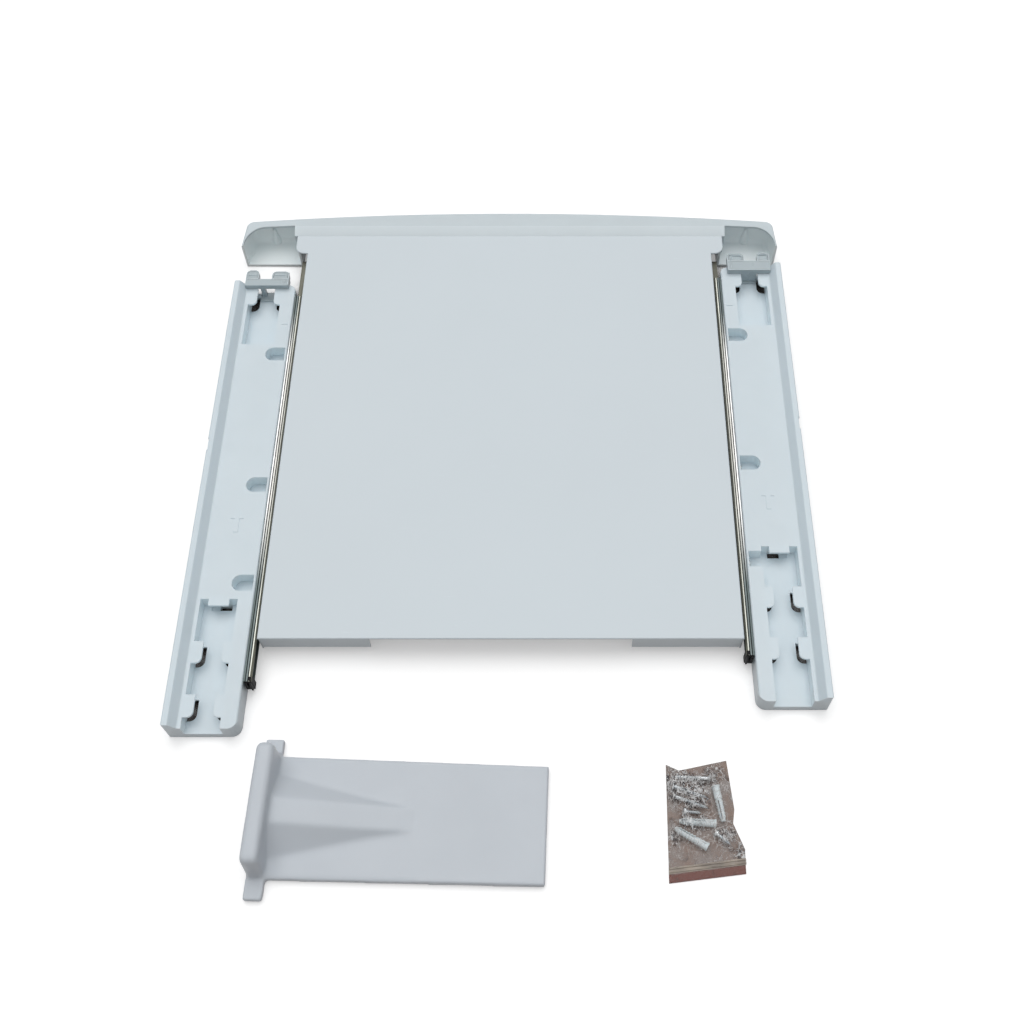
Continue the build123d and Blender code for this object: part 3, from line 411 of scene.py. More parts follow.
DRAWN = (1.0, 0.03, 1.0)
EVEN = (1, 1, 1)


def metal(name, colour, roughness, stretch=DRAWN, tint=None, dull=0.0):
    """Plated steel with drawing lines along the piece and patches of a second tint."""
    material, tree = new_material(name)
    lines = pattern(tree, 900.0, 3.0, stretch)
    patches = pattern(tree, 70.0, 3.0)
    base = mixed(tree, ranged(tree, patches, 0.35, 0.7, 0.0, 0.8), full(colour), tint or shaded(colour, 0.75))
    base = mixed(tree, ranged(tree, lines, 0.3, 0.7, 0.0, 0.35), base, shaded(colour, 0.6))
    gloss = ranged(tree, lines, 0.2, 0.8, roughness - 0.08, roughness + 0.14)
    brushed = bumped(tree, lines, 0.00002, 0.5)
    return finish_surface(material, base, gloss, {"Metallic": 1.0 - dull, "Normal": brushed})


def runner_steel(name, end_colour, middle_colour, ends):
    """Plated steel whose colour is painted brighter along its middle than at its two ends: a painted reflection of
    the lamp.
    """
    material, tree = new_material(name)
    # Painted reflection: the colour turns from the ends' colour to the middle's along the piece
    along = ranged(tree, coordinates(tree)["Y"], *ends)
    rising = ranged(tree, along, 0.22, 0.42)
    falling = ranged(tree, along, 0.8, 0.95, 1.0, 0.0)
    base = mixed(tree, maths(tree, "MULTIPLY", rising, falling), full(end_colour), full(middle_colour))
    lines = pattern(tree, 900.0, 3.0, DRAWN)
    base = mixed(tree, ranged(tree, lines, 0.4, 0.7, 0.0, 0.35), base, (0.05, 0.055, 0.05, 1.0))
    return finish_surface(material, base, ranged(tree, lines, 0.2, 0.8, 0.36, 0.5), {"Metallic": 0.6})


# The bag's outline, and its strip, in shares of its box and in metres

BAG_RIGHT_EDGE = ((0.075, 0.99), (0.21, 1.0), (0.44, 0.87), (0.56, 0.9), (1.0, 0.84))
BAG_FAR_EDGE = ((0.03, 0.965), (0.2, 0.915), (0.84, 1.0))
BAG_NEAR_RISE = 0.075
BAG_LEFT_LEAN = 0.03
STRIP_SLOPE = math.tan(math.radians(7.0))
STRIP_SEAT = 0.0144 - 0.0335 * STRIP_SLOPE
STRIP_WIDTH = 0.0057

# The bag's film: its spots of painted glints and painted dark streaks as shares across, along and their reach, and
# its tints

BAG_GLINT_SPOTS = ((0.17, 0.81, 0.2), (0.37, 0.71, 0.2), (0.66, 0.87, 0.12), (0.28, 0.49, 0.12),
                (0.5, 0.51, 0.09), (0.1, 0.37, 0.07), (0.8, 0.38, 0.12), (0.93, 0.24, 0.08))
HEADER_RED = (0.17, 0.052, 0.038, 1.0)
STAIN_BROWN = (0.05, 0.026, 0.02, 1.0)
STREAK_PAINTED_SHADE = (0.012, 0.02, 0.032, 1.0)
CREASE_WHITENING_AND_GLINT = (0.88, 0.9, 0.91, 1.0)
HEADER_BLEND = 0.0008


def crease_whitening_and_glint_lines(tree, scale, width, low, high):
    """Thin straight white lines along the creases between the flat facets of the film, partly whitened film and
    partly painted glints, of which only some show.
    """
    place = add_node(tree, "ShaderNodeTexCoord")
    cells = add_node(tree, "ShaderNodeTexVoronoi", {"Vector": place.outputs["Object"], "Scale": scale},
                     feature="DISTANCE_TO_EDGE")
    lines = ranged(tree, cells.outputs["Distance"], 0.0, width, 1.0, 0.0)
    return maths(tree, "MULTIPLY", lines, ranged(tree, pattern(tree, 0.9 * scale, 2.0), low, high))


def glint_and_streak_spots(tree, corner, size):
    """Where painted glints and painted dark streaks gather: spots with ragged borders over the fixings."""
    place = add_node(tree, "ShaderNodeTexCoord").outputs["Object"]
    flat = add_node(tree, "ShaderNodeVectorMath", {0: place, 1: (1, 1, 0)}, operation="MULTIPLY").outputs[0]
    ragged = pattern(tree, 120.0, 3.0)
    spots = None
    for across, along, reach in BAG_GLINT_SPOTS:
        centre = (corner.x + across * size.x, corner.y + along * size.y, 0)
        away = add_node(tree, "ShaderNodeVectorMath", {0: flat, 1: centre}, operation="DISTANCE")
        away = maths(tree, "MULTIPLY_ADD", ragged, 0.03, away.outputs["Value"])
        spot = ranged(tree, away, reach * size.x + 0.011, reach * size.x + 0.019, 1.0, 0.0)
        spots = maths(tree, "MAXIMUM", spot, spots) if spots else spot
    return spots


def film(name, colour, corner, size):
    """Thin crinkled film: clear on top, a brown tint below, a redder closed end, white creases that are partly
    painted glints, painted glints and painted dark streaks, and a gloss.
    """
    material, tree = new_material(name)
    place = coordinates(tree)
    level = maths(tree, "ADD", place["Y"], maths(tree, "MULTIPLY", place["X"], -STRIP_SLOPE))
    border = corner.y - STRIP_SLOPE * corner.x + STRIP_SEAT - STRIP_WIDTH / 2
    header = ranged(tree, level, border - HEADER_BLEND, border + HEADER_BLEND, 1.0, 0.0)
    below = ranged(tree, place["Z"], corner.z + 0.0002, corner.z + 0.0004, 1.0, 0.0)
    patches = ranged(tree, pattern(tree, 75.0, 3.0, (1.0, 0.6, 1.0)), 0.35, 0.65)
    base = mixed(tree, patches, full(colour), shaded(colour, 1.65))
    base = mixed(tree, header, base, HEADER_RED)
    stains = ranged(tree, pattern(tree, 160.0, 3.0, (1.0, 0.6, 1.0), 0.6), 0.55, 0.7, 0.0, 0.7)
    base = mixed(tree, stains, base, STAIN_BROWN)
    spots = glint_and_streak_spots(tree, corner, size)
    # Painted shade: dark streaks among the glints, only in the spots
    painted_dark_streaks = ranged(tree, pattern(tree, 330.0, 2.0, (0.8, 0.45, 1.0), 0.6, 2.0), 0.51, 0.58, 0.0, 0.95)
    painted_dark_streaks = maths(tree, "MULTIPLY", painted_dark_streaks, spots)
    base = mixed(tree, painted_dark_streaks, base, STREAK_PAINTED_SHADE)
    # White crease lines, partly whitened film and partly painted glints, then short painted glints, denser in the
    # spots
    lines = maths(tree, "MAXIMUM", crease_whitening_and_glint_lines(tree, 80.0, 0.035, 0.38, 0.55),
                  crease_whitening_and_glint_lines(tree, 230.0, 0.08, 0.42, 0.6))
    for scale, stretch in ((480.0, (1.0, 0.3, 1.0)), (600.0, (0.35, 1.0, 1.0))):
        glints = maths(tree, "MULTIPLY_ADD", spots, 0.07, pattern(tree, scale, 2.0, stretch, 0.6, 1.2))
        lines = maths(tree, "MAXIMUM", lines, ranged(tree, glints, 0.615, 0.665, 0.0, 0.95))
    # Patches where the painted crease whites and glints show
    crumpled = ranged(tree, pattern(tree, 48.0, 2.0, (1.0, 0.8, 1.0), 0.6, 0.8), 0.4, 0.58, 0.12, 0.95)
    lines = maths(tree, "MULTIPLY", lines, maths(tree, "MAXIMUM", crumpled, spots))
    # Painted highlights on the crests of the film's crinkles
    crest = add_node(tree, "ShaderNodeNewGeometry").outputs["Pointiness"]
    lines = maths(tree, "MAXIMUM", lines, ranged(tree, crest, 0.56, 0.68, 0.0, 0.6))
    white = maths(tree, "MULTIPLY", lines, ranged(tree, header, 0.0, 1.0, 0.92, 0.0))
    white = maths(tree, "MULTIPLY", white, maths(tree, "SUBTRACT", 1.0, below))
    base = mixed(tree, white, base, CREASE_WHITENING_AND_GLINT)
    clear = between(tree, below, 0.07, ranged(tree, patches, 0.0, 1.0, 0.68, 0.86))
    clear = between(tree, header, clear, 0.78)
    alpha = maths(tree, "MULTIPLY", maths(tree, "MAXIMUM", white, painted_dark_streaks), 0.68)
    alpha = maths(tree, "ADD", clear, alpha, clamp=True)
    fine = bumped(tree, pattern(tree, 420.0, 3.0, (1.0, 0.5, 1.0), 0.6, 1.0), 0.0004, 0.7)
    gloss = ranged(tree, patches, 0.0, 1.0, 0.12, 0.22)
    return finish_surface(material, base, gloss, {"Normal": fine, "Alpha": alpha, "Specular IOR Level": 0.3})


def strip_film(name, colour):
    """The closing strip's thicker film: pale, half clear, with faint lines along it."""
    material, tree = new_material(name)
    patches = ranged(tree, pattern(tree, 120.0, 3.0, (0.4, 1.0, 1.0)), 0.35, 0.65)
    base = mixed(tree, patches, full(colour), shaded(colour, 1.3))
    lines = ranged(tree, pattern(tree, 700.0, 2.0, (0.02, 1.0, 1.0)), 0.5, 0.6, 0.0, 0.5)
    base = mixed(tree, lines, base, shaded(colour, 0.6))
    gloss = ranged(tree, patches, 0.0, 1.0, 0.2, 0.3)
    alpha = ranged(tree, patches, 0.0, 1.0, 0.6, 0.8)
    return finish_surface(material, base, gloss, {"Alpha": alpha, "Specular IOR Level": 0.5})


# Sizes and colours that a user would change

def number_setting(name, description, default, **limits):
    return bpy.props.FloatProperty(name=name, description=description, default=default, **limits)


def length_setting(name, description, default):
    return number_setting(name, description, default, unit="LENGTH", subtype="DISTANCE")


def angle_setting(name, description, degrees):
    return number_setting(name, description, math.radians(degrees), unit="ROTATION", subtype="ANGLE")


def colour_setting(name, description, default):
    return bpy.props.FloatVectorProperty(name=name, description=description, default=default, size=3,
                                         subtype="COLOR", min=0.0, max=1.0)


class KitStageSettings(bpy.types.PropertyGroup):
    key_strength: number_setting("Key Light", "Strength of the main light", 1.17, min=0.0, soft_max=10.0)
    sky_strength: number_setting("Soft Light", "Strength of the light from all sides", 0.76, min=0.0, soft_max=2.0)
    low_sky: number_setting("Low Light", "Share of the soft light that comes from low down", 0.2, min=0.0, max=1.0)
    key_height: angle_setting("Key Height", "Height of the main light over the horizon", 67)
    key_softness: angle_setting("Key Softness", "How wide the main light is", 55)
    floor_size: length_setting("Floor Size", "Width of the pale floor", 12.0)
    floor_lift: number_setting("Floor White", "What is added to the floor to make it white", 0.3, min=0.0, max=1.0)
    floor_bounce: colour_setting("Floor Bounce", "What the floor throws back", (0.36, 0.33, 0.32))
    camera_place: bpy.props.FloatVectorProperty(name="Camera Place", description="Where the camera stands",
                                                default=(0.04619, -0.59926, 1.05136), size=3, unit="LENGTH",
                                                subtype="TRANSLATION")
    camera_tilt: angle_setting("Camera Tilt", "The camera's turn from looking straight down", 29.89)
    lens: number_setting("Lens", "Focal length in millimetres", 42.52)
    lens_shift: number_setting("Lens Shift", "Sideways shift of the picture", -0.03797)


class KitColourSettings(bpy.types.PropertyGroup):
    shelf: colour_setting("Shelf", "Coating of the shelf sheet", (0.61, 0.675, 0.715))
    panel: colour_setting("Front Panel", "Plastic of the front panel", (0.58, 0.65, 0.685))
    rail: colour_setting("Rails", "Plastic of the two rails", (0.64, 0.725, 0.775))
    bracket: colour_setting("Rear Bracket", "Plastic of the rear bracket", (0.55, 0.59, 0.635))
    clip: colour_setting("Front Clips", "Milky plastic of the front clips", (0.42, 0.49, 0.52))
    film: colour_setting("Bag Film", "Tint of the bag's film", (0.138, 0.088, 0.066))
    strip: colour_setting("Closing Strip", "Film of the closing strip", (0.35, 0.3, 0.25))
    plug: colour_setting("Wall Plugs", "Plastic of the wall plugs", (0.76, 0.84, 0.87))


class KitShapeSettings(bpy.types.PropertyGroup):
    rail_edge: length_setting("Rail Edge", "Rounding of the rails' sharp edges", 0.0005)
    panel_edge: length_setting("Panel Edge", "Rounding of the front panel's sharp edges", 0.0006)
    sheet_edge: length_setting("Sheet Edge", "Rounding of the shelf sheet's sharp edges", 0.0003)
    clip_edge: length_setting("Clip Edge", "Rounding of the front clips' sharp edges", 0.0005)
    bracket_grain: length_setting("Bracket Grain", "Size of the bracket's mesh squares", 0.0013)
    bracket_blend: bpy.props.IntProperty(name="Bracket Blend", description="How softly ridge and plate are blended",
                                         default=24, min=0, max=60)


# The pieces

# The stage: the painted shade on the floor down the rails' holes, how far off and how much covered the floor must
# be for it, and where the holes start along X

WHITE = (1, 1, 1, 1)
HOLE_PAINTED_SHADE = (0.03, 0.022, 0.02, 1.0)
HOLE_REACH = 0.05
HOLE_SHARES = (0.22, 0.5)
RAIL_WALLS_START = (0.2335, 0.2345)
FLOOR_DROP = 0.0002
KEY_TURN = math.radians(8)
SENSOR_WIDTH = 36.0


class STACKKIT_OT_stage(bpy.types.Operator):
    """Sets out the pale floor, the soft studio light and the camera"""
    bl_idname = "stackkit.stage"
    bl_label = "Stage"

    def execute(self, context):
        settings = context.scene.kit_stage
        self.lay_floor(settings)
        self.light_world(context, settings)
        key = added(bpy.ops.object.light_add, "key_light", type="SUN", location=(0, 2, 3))
        key.data.energy = settings.key_strength
        key.data.angle = settings.key_softness
        key.rotation_euler = (settings.key_height - math.pi / 2, 0, KEY_TURN)
        camera = added(bpy.ops.object.camera_add, "photo_camera", location=settings.camera_place,
                       rotation=(settings.camera_tilt, 0, 0))
        camera.data.lens = settings.lens
        camera.data.sensor_width = SENSOR_WIDTH
        camera.data.shift_x = settings.lens_shift
        context.scene.camera = camera
        context.scene.view_settings.view_transform = "Standard"
        return {"FINISHED"}

    def lay_floor(self, settings):
        """A floor that looks white, has painted shade down the rails' holes and throws back a warmer light."""
        floor = added(bpy.ops.mesh.primitive_plane_add, "studio_floor", size=settings.floor_size,
                      location=(0, 0, -FLOOR_DROP))
        material, tree = new_material("pale_studio_floor")
        tone = ranged(tree, pattern(tree, 3.0, 2.0), 0.3, 0.7, 0.89, 0.91)
        white = add_node(tree, "ShaderNodeCombineColor", {0: tone, 1: tone, 2: tone})
        # Painted shade: where the floor is closely covered, as down the rails' holes, it is painted dark and loses
        # its added white
        covered = add_node(tree, "ShaderNodeAmbientOcclusion", {"Distance": HOLE_REACH}, samples=8)
        unshaded_floor = ranged(tree, covered.outputs["AO"], *HOLE_SHARES)
        aside = maths(tree, "ABSOLUTE", coordinates(tree)["X"])
        under_shelf = ranged(tree, aside, *RAIL_WALLS_START, 1.0, 0.0)
        unshaded_floor = maths(tree, "MAXIMUM", unshaded_floor, under_shelf)
        look = looking(tree)
        floor_with_painted_shade = mixed(tree, unshaded_floor, HOLE_PAINTED_SHADE, white.outputs[0])
        tint = mixed(tree, look, full(settings.floor_bounce), floor_with_painted_shade)
        surface = add_node(tree, "ShaderNodeBsdfDiffuse", {"Color": tint})
        lift = maths(tree, "MULTIPLY", look, ranged(tree, unshaded_floor, 0.0, 1.0, 0.0, settings.floor_lift))
        glow = add_node(tree, "ShaderNodeEmission", {"Color": WHITE, "Strength": lift})
        both = add_node(tree, "ShaderNodeAddShader", {0: surface.outputs[0], 1: glow.outputs[0]})
        close_material(tree, both)
        floor.data.materials.append(material)

    def light_world(self, context, settings):
        """A sky that looks white and gives more light from overhead than from low down."""
        world = bpy.data.worlds.new("soft_studio")
        context.scene.world = world
        world.use_nodes = True
        tree = world.node_tree
        tree.nodes.clear()
        overhead = ranged(tree, coordinates(tree, "Generated")["Z"], 0.0, 1.0,
                          settings.low_sky * settings.sky_strength, settings.sky_strength)
        strength = between(tree, looking(tree), overhead, 1.0)
        sky = add_node(tree, "ShaderNodeBackground", {"Color": WHITE, "Strength": strength})
        add_node(tree, "ShaderNodeOutputWorld", {"Surface": sky.outputs[0]})


# How far inside a rail's box its pockets start and end, and how far under its deck their walls get painted light

POCKET_START, POCKET_END, POCKET_DEPTH = 0.004, 0.003, 0.0004


class STACKKIT_OT_rails(bpy.types.Operator):
    """Rounds the edges of both rail mouldings and gives them their plastic"""
    bl_idname = "stackkit.rails"
    bl_label = "Rails"

    def execute(self, context):
        tone = context.scene.kit_colours.rail
        material = plastic("rail_plastic_moulded", tone, roughness=0.36, glow=0.25, depth=0.006)
        # A lighter copy of the rail plastic: painted light on the pocket walls
        painted_lighter = plastic("rail_pocket_painted_light", shaded(tone, 1.3), roughness=0.36, glow=0.25, depth=0.006)
        for side in SIDES:
            rail = merged_copy(side + "_rail", side + "_rail_moulding", WIDE_MERGE_GAP)
            soften(rail, context.scene.kit_shapes.rail_edge, corner="MITER_SHARP")
            dress(rail, material, "rail_plastic", side + "_rail_body", side + "_rail")
            rail.data.materials.append(painted_lighter)
            self.paint_light_on_faces(rail, side)
        return {"FINISHED"}

    def paint_light_on_faces(self, rail, side):
        """Paints the walls of the rail's pockets lighter: painted light standing in for light through the thin
        plastic.
        """
        low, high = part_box(side + "_rail")
        level = [face for face in rail.data.polygons if face.normal.z > 0.99]
        deck = max(level, key=lambda face: face.area).center.z
        for face in rail.data.polygons:
            x, y, z = face.center
            inside = (low[0] + POCKET_START < x < high[0] - POCKET_END and
                      low[1] + POCKET_START < y < high[1] - POCKET_END)
            if inside and -0.3 < face.normal.z < 0.6 and z < deck - POCKET_DEPTH:
                face.material_index = 1


# Where the front panel's wings start along X, and how deep their rims are

PANEL_WING_START = 0.2265
PANEL_RIM_DEPTH = 0.004


class STACKKIT_OT_front_panel(bpy.types.Operator):
    """Rounds the edges of the bowed front panel and gives it its plastic"""
    bl_idname = "stackkit.front_panel"
    bl_label = "Front Panel"

    def execute(self, context):
        tone = context.scene.kit_colours.panel
        material = plastic("panel_plastic_moulded", tone, roughness=0.38, glow=0.2, depth=0.008)
        panel = merged_copy("front_panel", "front_panel_moulding", WIDE_MERGE_GAP)
        soften(panel, context.scene.kit_shapes.panel_edge, corner="MITER_SHARP")
        dress(panel, material, "panel_plastic", "shelf_body", "front_panel")
        # Lighter copies of the panel plastic: painted light on the wings' inner walls and on the slope
        for name, painted_lighter in (("panel_wing_painted_light", (0.9, 0.98, 1.0)), ("panel_slope_painted_light", shaded(tone, 1.17))):
            panel.data.materials.append(plastic(name, painted_lighter, roughness=0.36, glow=0.2, depth=0.01))
        self.paint_light_on_faces(panel)
        return {"FINISHED"}

    def paint_light_on_faces(self, panel):
        """Paints the wings' walls seen from inside and the slope lighter: painted light standing in for light
        through the thin plastic.
        """
        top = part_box("front_panel")[1][2]
        for face in panel.data.polygons:
            aside, normal = abs(face.center.x), face.normal
            inward = normal.z > 0.5 or normal.y < -0.3 or normal.x * math.copysign(1, face.center.x) < -0.3
            if aside > PANEL_WING_START and face.center.z < top - PANEL_RIM_DEPTH and inward:
                face.material_index = 1
            elif aside < PANEL_WING_START and normal.y < -0.15 and normal.z > 0.3:
                face.material_index = 2


class STACKKIT_OT_shelf(bpy.types.Operator):
    """Rounds the folds of the shelf tray and gives it its coating"""
    bl_idname = "stackkit.shelf"
    bl_label = "Shelf"

    def execute(self, context):
        material = painted_sheet("shelf_coating", context.scene.kit_colours.shelf)
        tray = merged_copy("shelf_tray", "shelf_tray_sheet")
        soften(tray, context.scene.kit_shapes.sheet_edge)
        dress(tray, material, "shelf_coated_sheet", "shelf_body", "shelf_tray")
        return {"FINISHED"}


class STACKKIT_OT_front_clips(bpy.types.Operator):
    """Shapes the milky clips at the rails' front ends, with their ribs and rims"""
    bl_idname = "stackkit.front_clips"
    bl_label = "Front Clips"

    def execute(self, context):
        tone = context.scene.kit_colours.clip
        milky = plastic("clip_milky_plastic", tone, roughness=0.3, glow=0.3, depth=0.005)
        # A lighter copy of the clip plastic: a painted highlight on the ribs and rims
        rim = plastic("clip_rim_painted_highlight", shaded(tone, 1.6), roughness=0.25, glow=0.4)
        for side in SIDES:
            low, high = (Vector(corner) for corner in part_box(side + "_front_clip"))
            clip = merged_copy(side + "_front_clip", side + "_clip_moulding")
            soften(clip, context.scene.kit_shapes.clip_edge)
            floors = [self.on_clip(side, low, high, *place, high.z - 0.016, high.z - CLIP_FLOOR_DROP[side])
                      for place in CLIP_FLOORS]
            ribs = [self.on_clip(side, low, high, *place, high.z - 0.001, high.z + 0.0003)
                    for place in CLIP_RIBS[side]]
            ribs = join_pieces(ribs, side + "_clip_ribs")
            soften(ribs, 0.0002)
            cover(ribs, rim)
            base = join_pieces([clip, *floors], side + "_clip_base")
            cover(base, milky)
            clip = join_pieces([base, ribs], side + "_clip_modelled")
            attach(clip, side + "_rail_body")
            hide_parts(side + "_front_clip")
        return {"FINISHED"}

    def on_clip(self, side, low, high, inner, outer, rear, front, base, top):
        """A block on a clip, by its distances from the clip's inner end and from its front, in millimetres."""
        if side == "left":
            from_x, to_x = high.x - outer * MM, high.x - inner * MM
        else:
            from_x, to_x = low.x + inner * MM, low.x + outer * MM
        return start_block("clip_block", (from_x, high.y - rear * MM, base), (to_x, high.y - front * MM, top))


# Floors and ribs of the clips: from and to across, then rear and front, in millimetres

CLIP_FLOORS = ((2, 16.8, 11.6, 3.2), (35, 45.4, 11.6, 1.8))
CLIP_FLOOR_DROP = {"left": 0.0003, "right": 0.001}
CLIP_RIBS = {
    "left": ((0, 0.9, 21.0, 3.2), (0.6, 18.6, 12.9, 12.0), (33.4, 46.6, 12.9, 12.0), (4, 17.5, 7.3, 6.9),
             (36, 45, 7.3, 6.9), (2.6, 2.9, 20.3, 13.4), (4.2, 4.5, 20.3, 13.4), (5.8, 6.1, 20.3, 13.4),
             (7.4, 7.7, 20.3, 13.4)),
    "right": ((0.1, 0.9, 25.0, 2.6), (1.0, 46.4, 12.9, 12.0), (0.8, 46.4, 25.3, 24.6), (4.0, 4.5, 22.5, 4.5),
              (5.6, 16.6, 10.6, 10.1), (5.6, 16.6, 4.6, 4.1), (5.6, 6.1, 10.1, 4.6), (16.1, 16.6, 10.1, 4.6),
              (34.6, 44.6, 10.6, 10.1), (34.6, 44.6, 3.2, 2.7), (34.6, 35.1, 10.1, 3.2), (44.1, 44.6, 10.1, 3.2),
              (33.4, 33.9, 12.0, 2.0), (18.2, 18.7, 12.0, 3.0)),
}

# The rolled section of a runner channel: millimetres out from the wall, and down from its top or up from its
# foot. Then the bands along its top, each from and to in millimetres and with the number of its material, mostly
# a painted highlight or painted shade, and how far down they reach in metres.

CHANNEL_TOP = ((0, 1.0), (0.2, 0.35), (0.6, 0), (1.8, 0), (2.1, 0.3), (2.3, 0.45), (2.5, 0.3), (2.8, 0),
               (4.1, 0), (4.4, 0.3), (4.6, 0.5), (4.8, 0.3), (5.1, 0), (6.1, 0), (6.5, 0.25), (7.2, 0.5),
               (7.8, 0.8), (8.0, 1.2), (8.0, 2.0), (7.5, 2.0), (7.4, 1.5), (1.2, 1.3), (1.0, 1.5))
CHANNEL_FOOT = ((0, 1.0), (0.25, 0.35), (0.8, 0), (5.4, 0), (5.9, 0.3), (6.1, 0.8), (6.1, 1.8), (5.6, 1.8),
                (5.5, 1.1), (1.2, 1.1), (1.0, 1.3))
CHANNEL_HIGHLIGHT_AND_SHADE_BANDS = ((0.6, 1.8, 1), (1.8, 2.8, 4), (2.8, 4.1, 2), (4.1, 5.1, 4), (5.1, 6.1, 3), (6.1, 8.1, 5))
CHANNEL_BAND_DEPTH = 0.0013

# Blocks of a runner stopper: from and to across, rear, front, base and top, in millimetres

STOPPER_BLOCKS = ((0.4, 3.1, -2.6, 0.5, 6.0, 17.4), (5.0, 6.6, -3.2, 0.5, 4.0, 18.6),
                  (3.6, 6.4, 0.4, 4.2, 17.0, 19.9), (0.4, 6.6, -0.9, 0.5, 16.0, 18.6))


class STACKKIT_OT_runners(bpy.types.Operator):
    """Rolls the runner channels and finishes the cages, balls and stoppers"""
    bl_idname = "stackkit.runners"
    bl_label = "Runners"

    def execute(self, context):
        low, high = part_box("left_outer_runner")
        ends = (low[1], high[1])
        steel = runner_steel("runner_zinc_steel", (0.12, 0.145, 0.14), (0.13, 0.15, 0.145), ends)
        olive = metal("runner_inner_steel", (0.13, 0.13, 0.105), 0.45, dull=0.3)
        # Painted highlights and painted shade for the bands along the channel's top
        lines = (runner_steel("runner_painted_highlight_line", (0.10, 0.13, 0.13), (0.9, 0.9, 0.9), ends),
                 runner_steel("runner_painted_sheen_band", (0.14, 0.17, 0.17), (0.66, 0.65, 0.61), ends),
                 runner_steel("runner_painted_highlight_bead", (0.66, 0.67, 0.60), (0.42, 0.42, 0.38), ends),
                 runner_steel("runner_painted_shade_groove", (0.03, 0.04, 0.04), (0.08, 0.08, 0.08), ends),
                 runner_steel("runner_olive_edge", (0.11, 0.11, 0.085), (0.12, 0.12, 0.10), ends))
        cage = metal("cage_drawn_steel", (0.30, 0.31, 0.30), 0.38)
        ball = metal("ball_polished_steel", (0.6, 0.61, 0.62), 0.15, EVEN)
        black = plastic("stopper_black_plastic", (0.006, 0.006, 0.007), roughness=0.6, specular=0.15)
        for side in SIDES:
            channel = self.roll_channel(side)
            dress(channel, steel, "runner_steel", side + "_rail_body", side + "_outer_runner")
            for line in lines:
                channel.data.materials.append(line)
            self.paint_band_light(channel, side)
            inner = merged_copy(side + "_inner_runner", side + "_inner_channel")
            soften(inner, 0.00025)
            dress(inner, olive, "runner_steel", "shelf_body", side + "_inner_runner")
            stopper = self.make_stopper(side)
            dress(stopper, black, "stopper_plastic", side + "_rail_body", side + "_runner_stopper")
            dress_node(side + "_ball_cage", cage)
            dress_node(side + "_runner_balls", ball)
        return {"FINISHED"}

    def wall_and_sign(self, side, node):
        """The X of the rail's wall at a node, and the sign of the way to the shelf."""
        low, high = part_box(node)
        return (low[0], 1) if side == "left" else (high[0], -1)

    def roll_channel(self, side):
        """A channel rolled from sheet: beads and grooves along its edges and a return lip."""
        node = side + "_outer_runner"
        low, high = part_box(node)
        wall, sign = self.wall_and_sign(side, node)
        upper = [(out, high[2] - down * MM) for out, down in CHANNEL_TOP]
        lower = [(out, low[2] + up * MM) for out, up in reversed(CHANNEL_FOOT)]
        section = upper + lower
        channel = added(bpy.ops.mesh.primitive_circle_add, side + "_outer_channel", vertices=len(section),
                        fill_type="NGON")
        for vertex, (out, height) in zip(channel.data.vertices, section):
            vertex.co = (wall + sign * out * MM, low[1], height)
        pull_out(channel, (0, high[1] - low[1], 0))
        smooth(channel, 32)
        return channel

    def paint_band_light(self, channel, side):
        """Each bead and groove along the channel's top gets its own material, mostly a painted highlight or painted
        shade.
        """
        node = side + "_outer_runner"
        wall, sign = self.wall_and_sign(side, node)
        under_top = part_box(node)[1][2] - CHANNEL_BAND_DEPTH
        for face in channel.data.polygons:
            out = (face.center.x - wall) * sign / MM
            if face.center.z > under_top and face.normal.z > 0.2:
                for start, end, finish in CHANNEL_HIGHLIGHT_AND_SHADE_BANDS:
                    if start < out < end:
                        face.material_index = finish

    def make_stopper(self, side):
        """The black stopper, with two prongs at the rear and a catch on top."""
        node = side + "_runner_stopper"
        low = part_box(node)[0]
        wall, sign = self.wall_and_sign(side, node)
        parts = [merged_copy(node, side + "_stopper_moulding")]
        for start, end, rear, front, base, top in STOPPER_BLOCKS:
            near, far = sorted((wall + sign * start * MM, wall + sign * end * MM))
            parts.append(start_block("stopper_part", (near, low[1] + rear * MM, low[2] + base * MM),
                                     (far, low[1] + front * MM, low[2] + top * MM)))
        stopper = join_pieces(parts, side + "_stopper_modelled")
        soften(stopper, 0.00035)
        return stopper


def loose_parts(node):
    """The points of each separate solid of a CAD node."""
    shape = bmesh.new()
    shape.from_mesh(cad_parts[node].data)
    bmesh.ops.remove_doubles(shape, verts=shape.verts, dist=0.00001)
    left = set(shape.verts)
    parts = []
    while left:
        edge_of_part = [left.pop()]
        part = list(edge_of_part)
        while edge_of_part:
            vertex = edge_of_part.pop()
            for edge in vertex.link_edges:
                other = edge.other_vert(vertex)
                if other in left:
                    left.remove(other)
                    edge_of_part.append(other)
                    part.append(other)
        parts.append([vertex.co.copy() for vertex in part])
    shape.free()
    return sorted(parts, key=lambda part: (round(part[0].x, 2), round(part[0].y, 2)))


def screw_places(node, axis):
    """Where each screw of a node has its head, and the sign of its point's direction along an axis."""
    places = []
    for part in loose_parts(node):
        low = [min(point[index] for point in part) for index in range(3)]
        high = [max(point[index] for point in part) for index in range(3)]
        middle = (Vector(low) + Vector(high)) / 2
        spread = {}
        for end in (low[axis], high[axis]):
            near = [point for point in part if abs(point[axis] - end) < 0.0011]
            spread[end] = max((point - middle).length_squared - (point[axis] - middle[axis]) ** 2 for point in near)
        head = max(spread, key=spread.get)
        middle[axis] = head
        places.append((middle, 1 if head == low[axis] else -1))
    return places


# Screws: the head's radius and height, the shank's radius, the length, the thread's pitch, the point's length

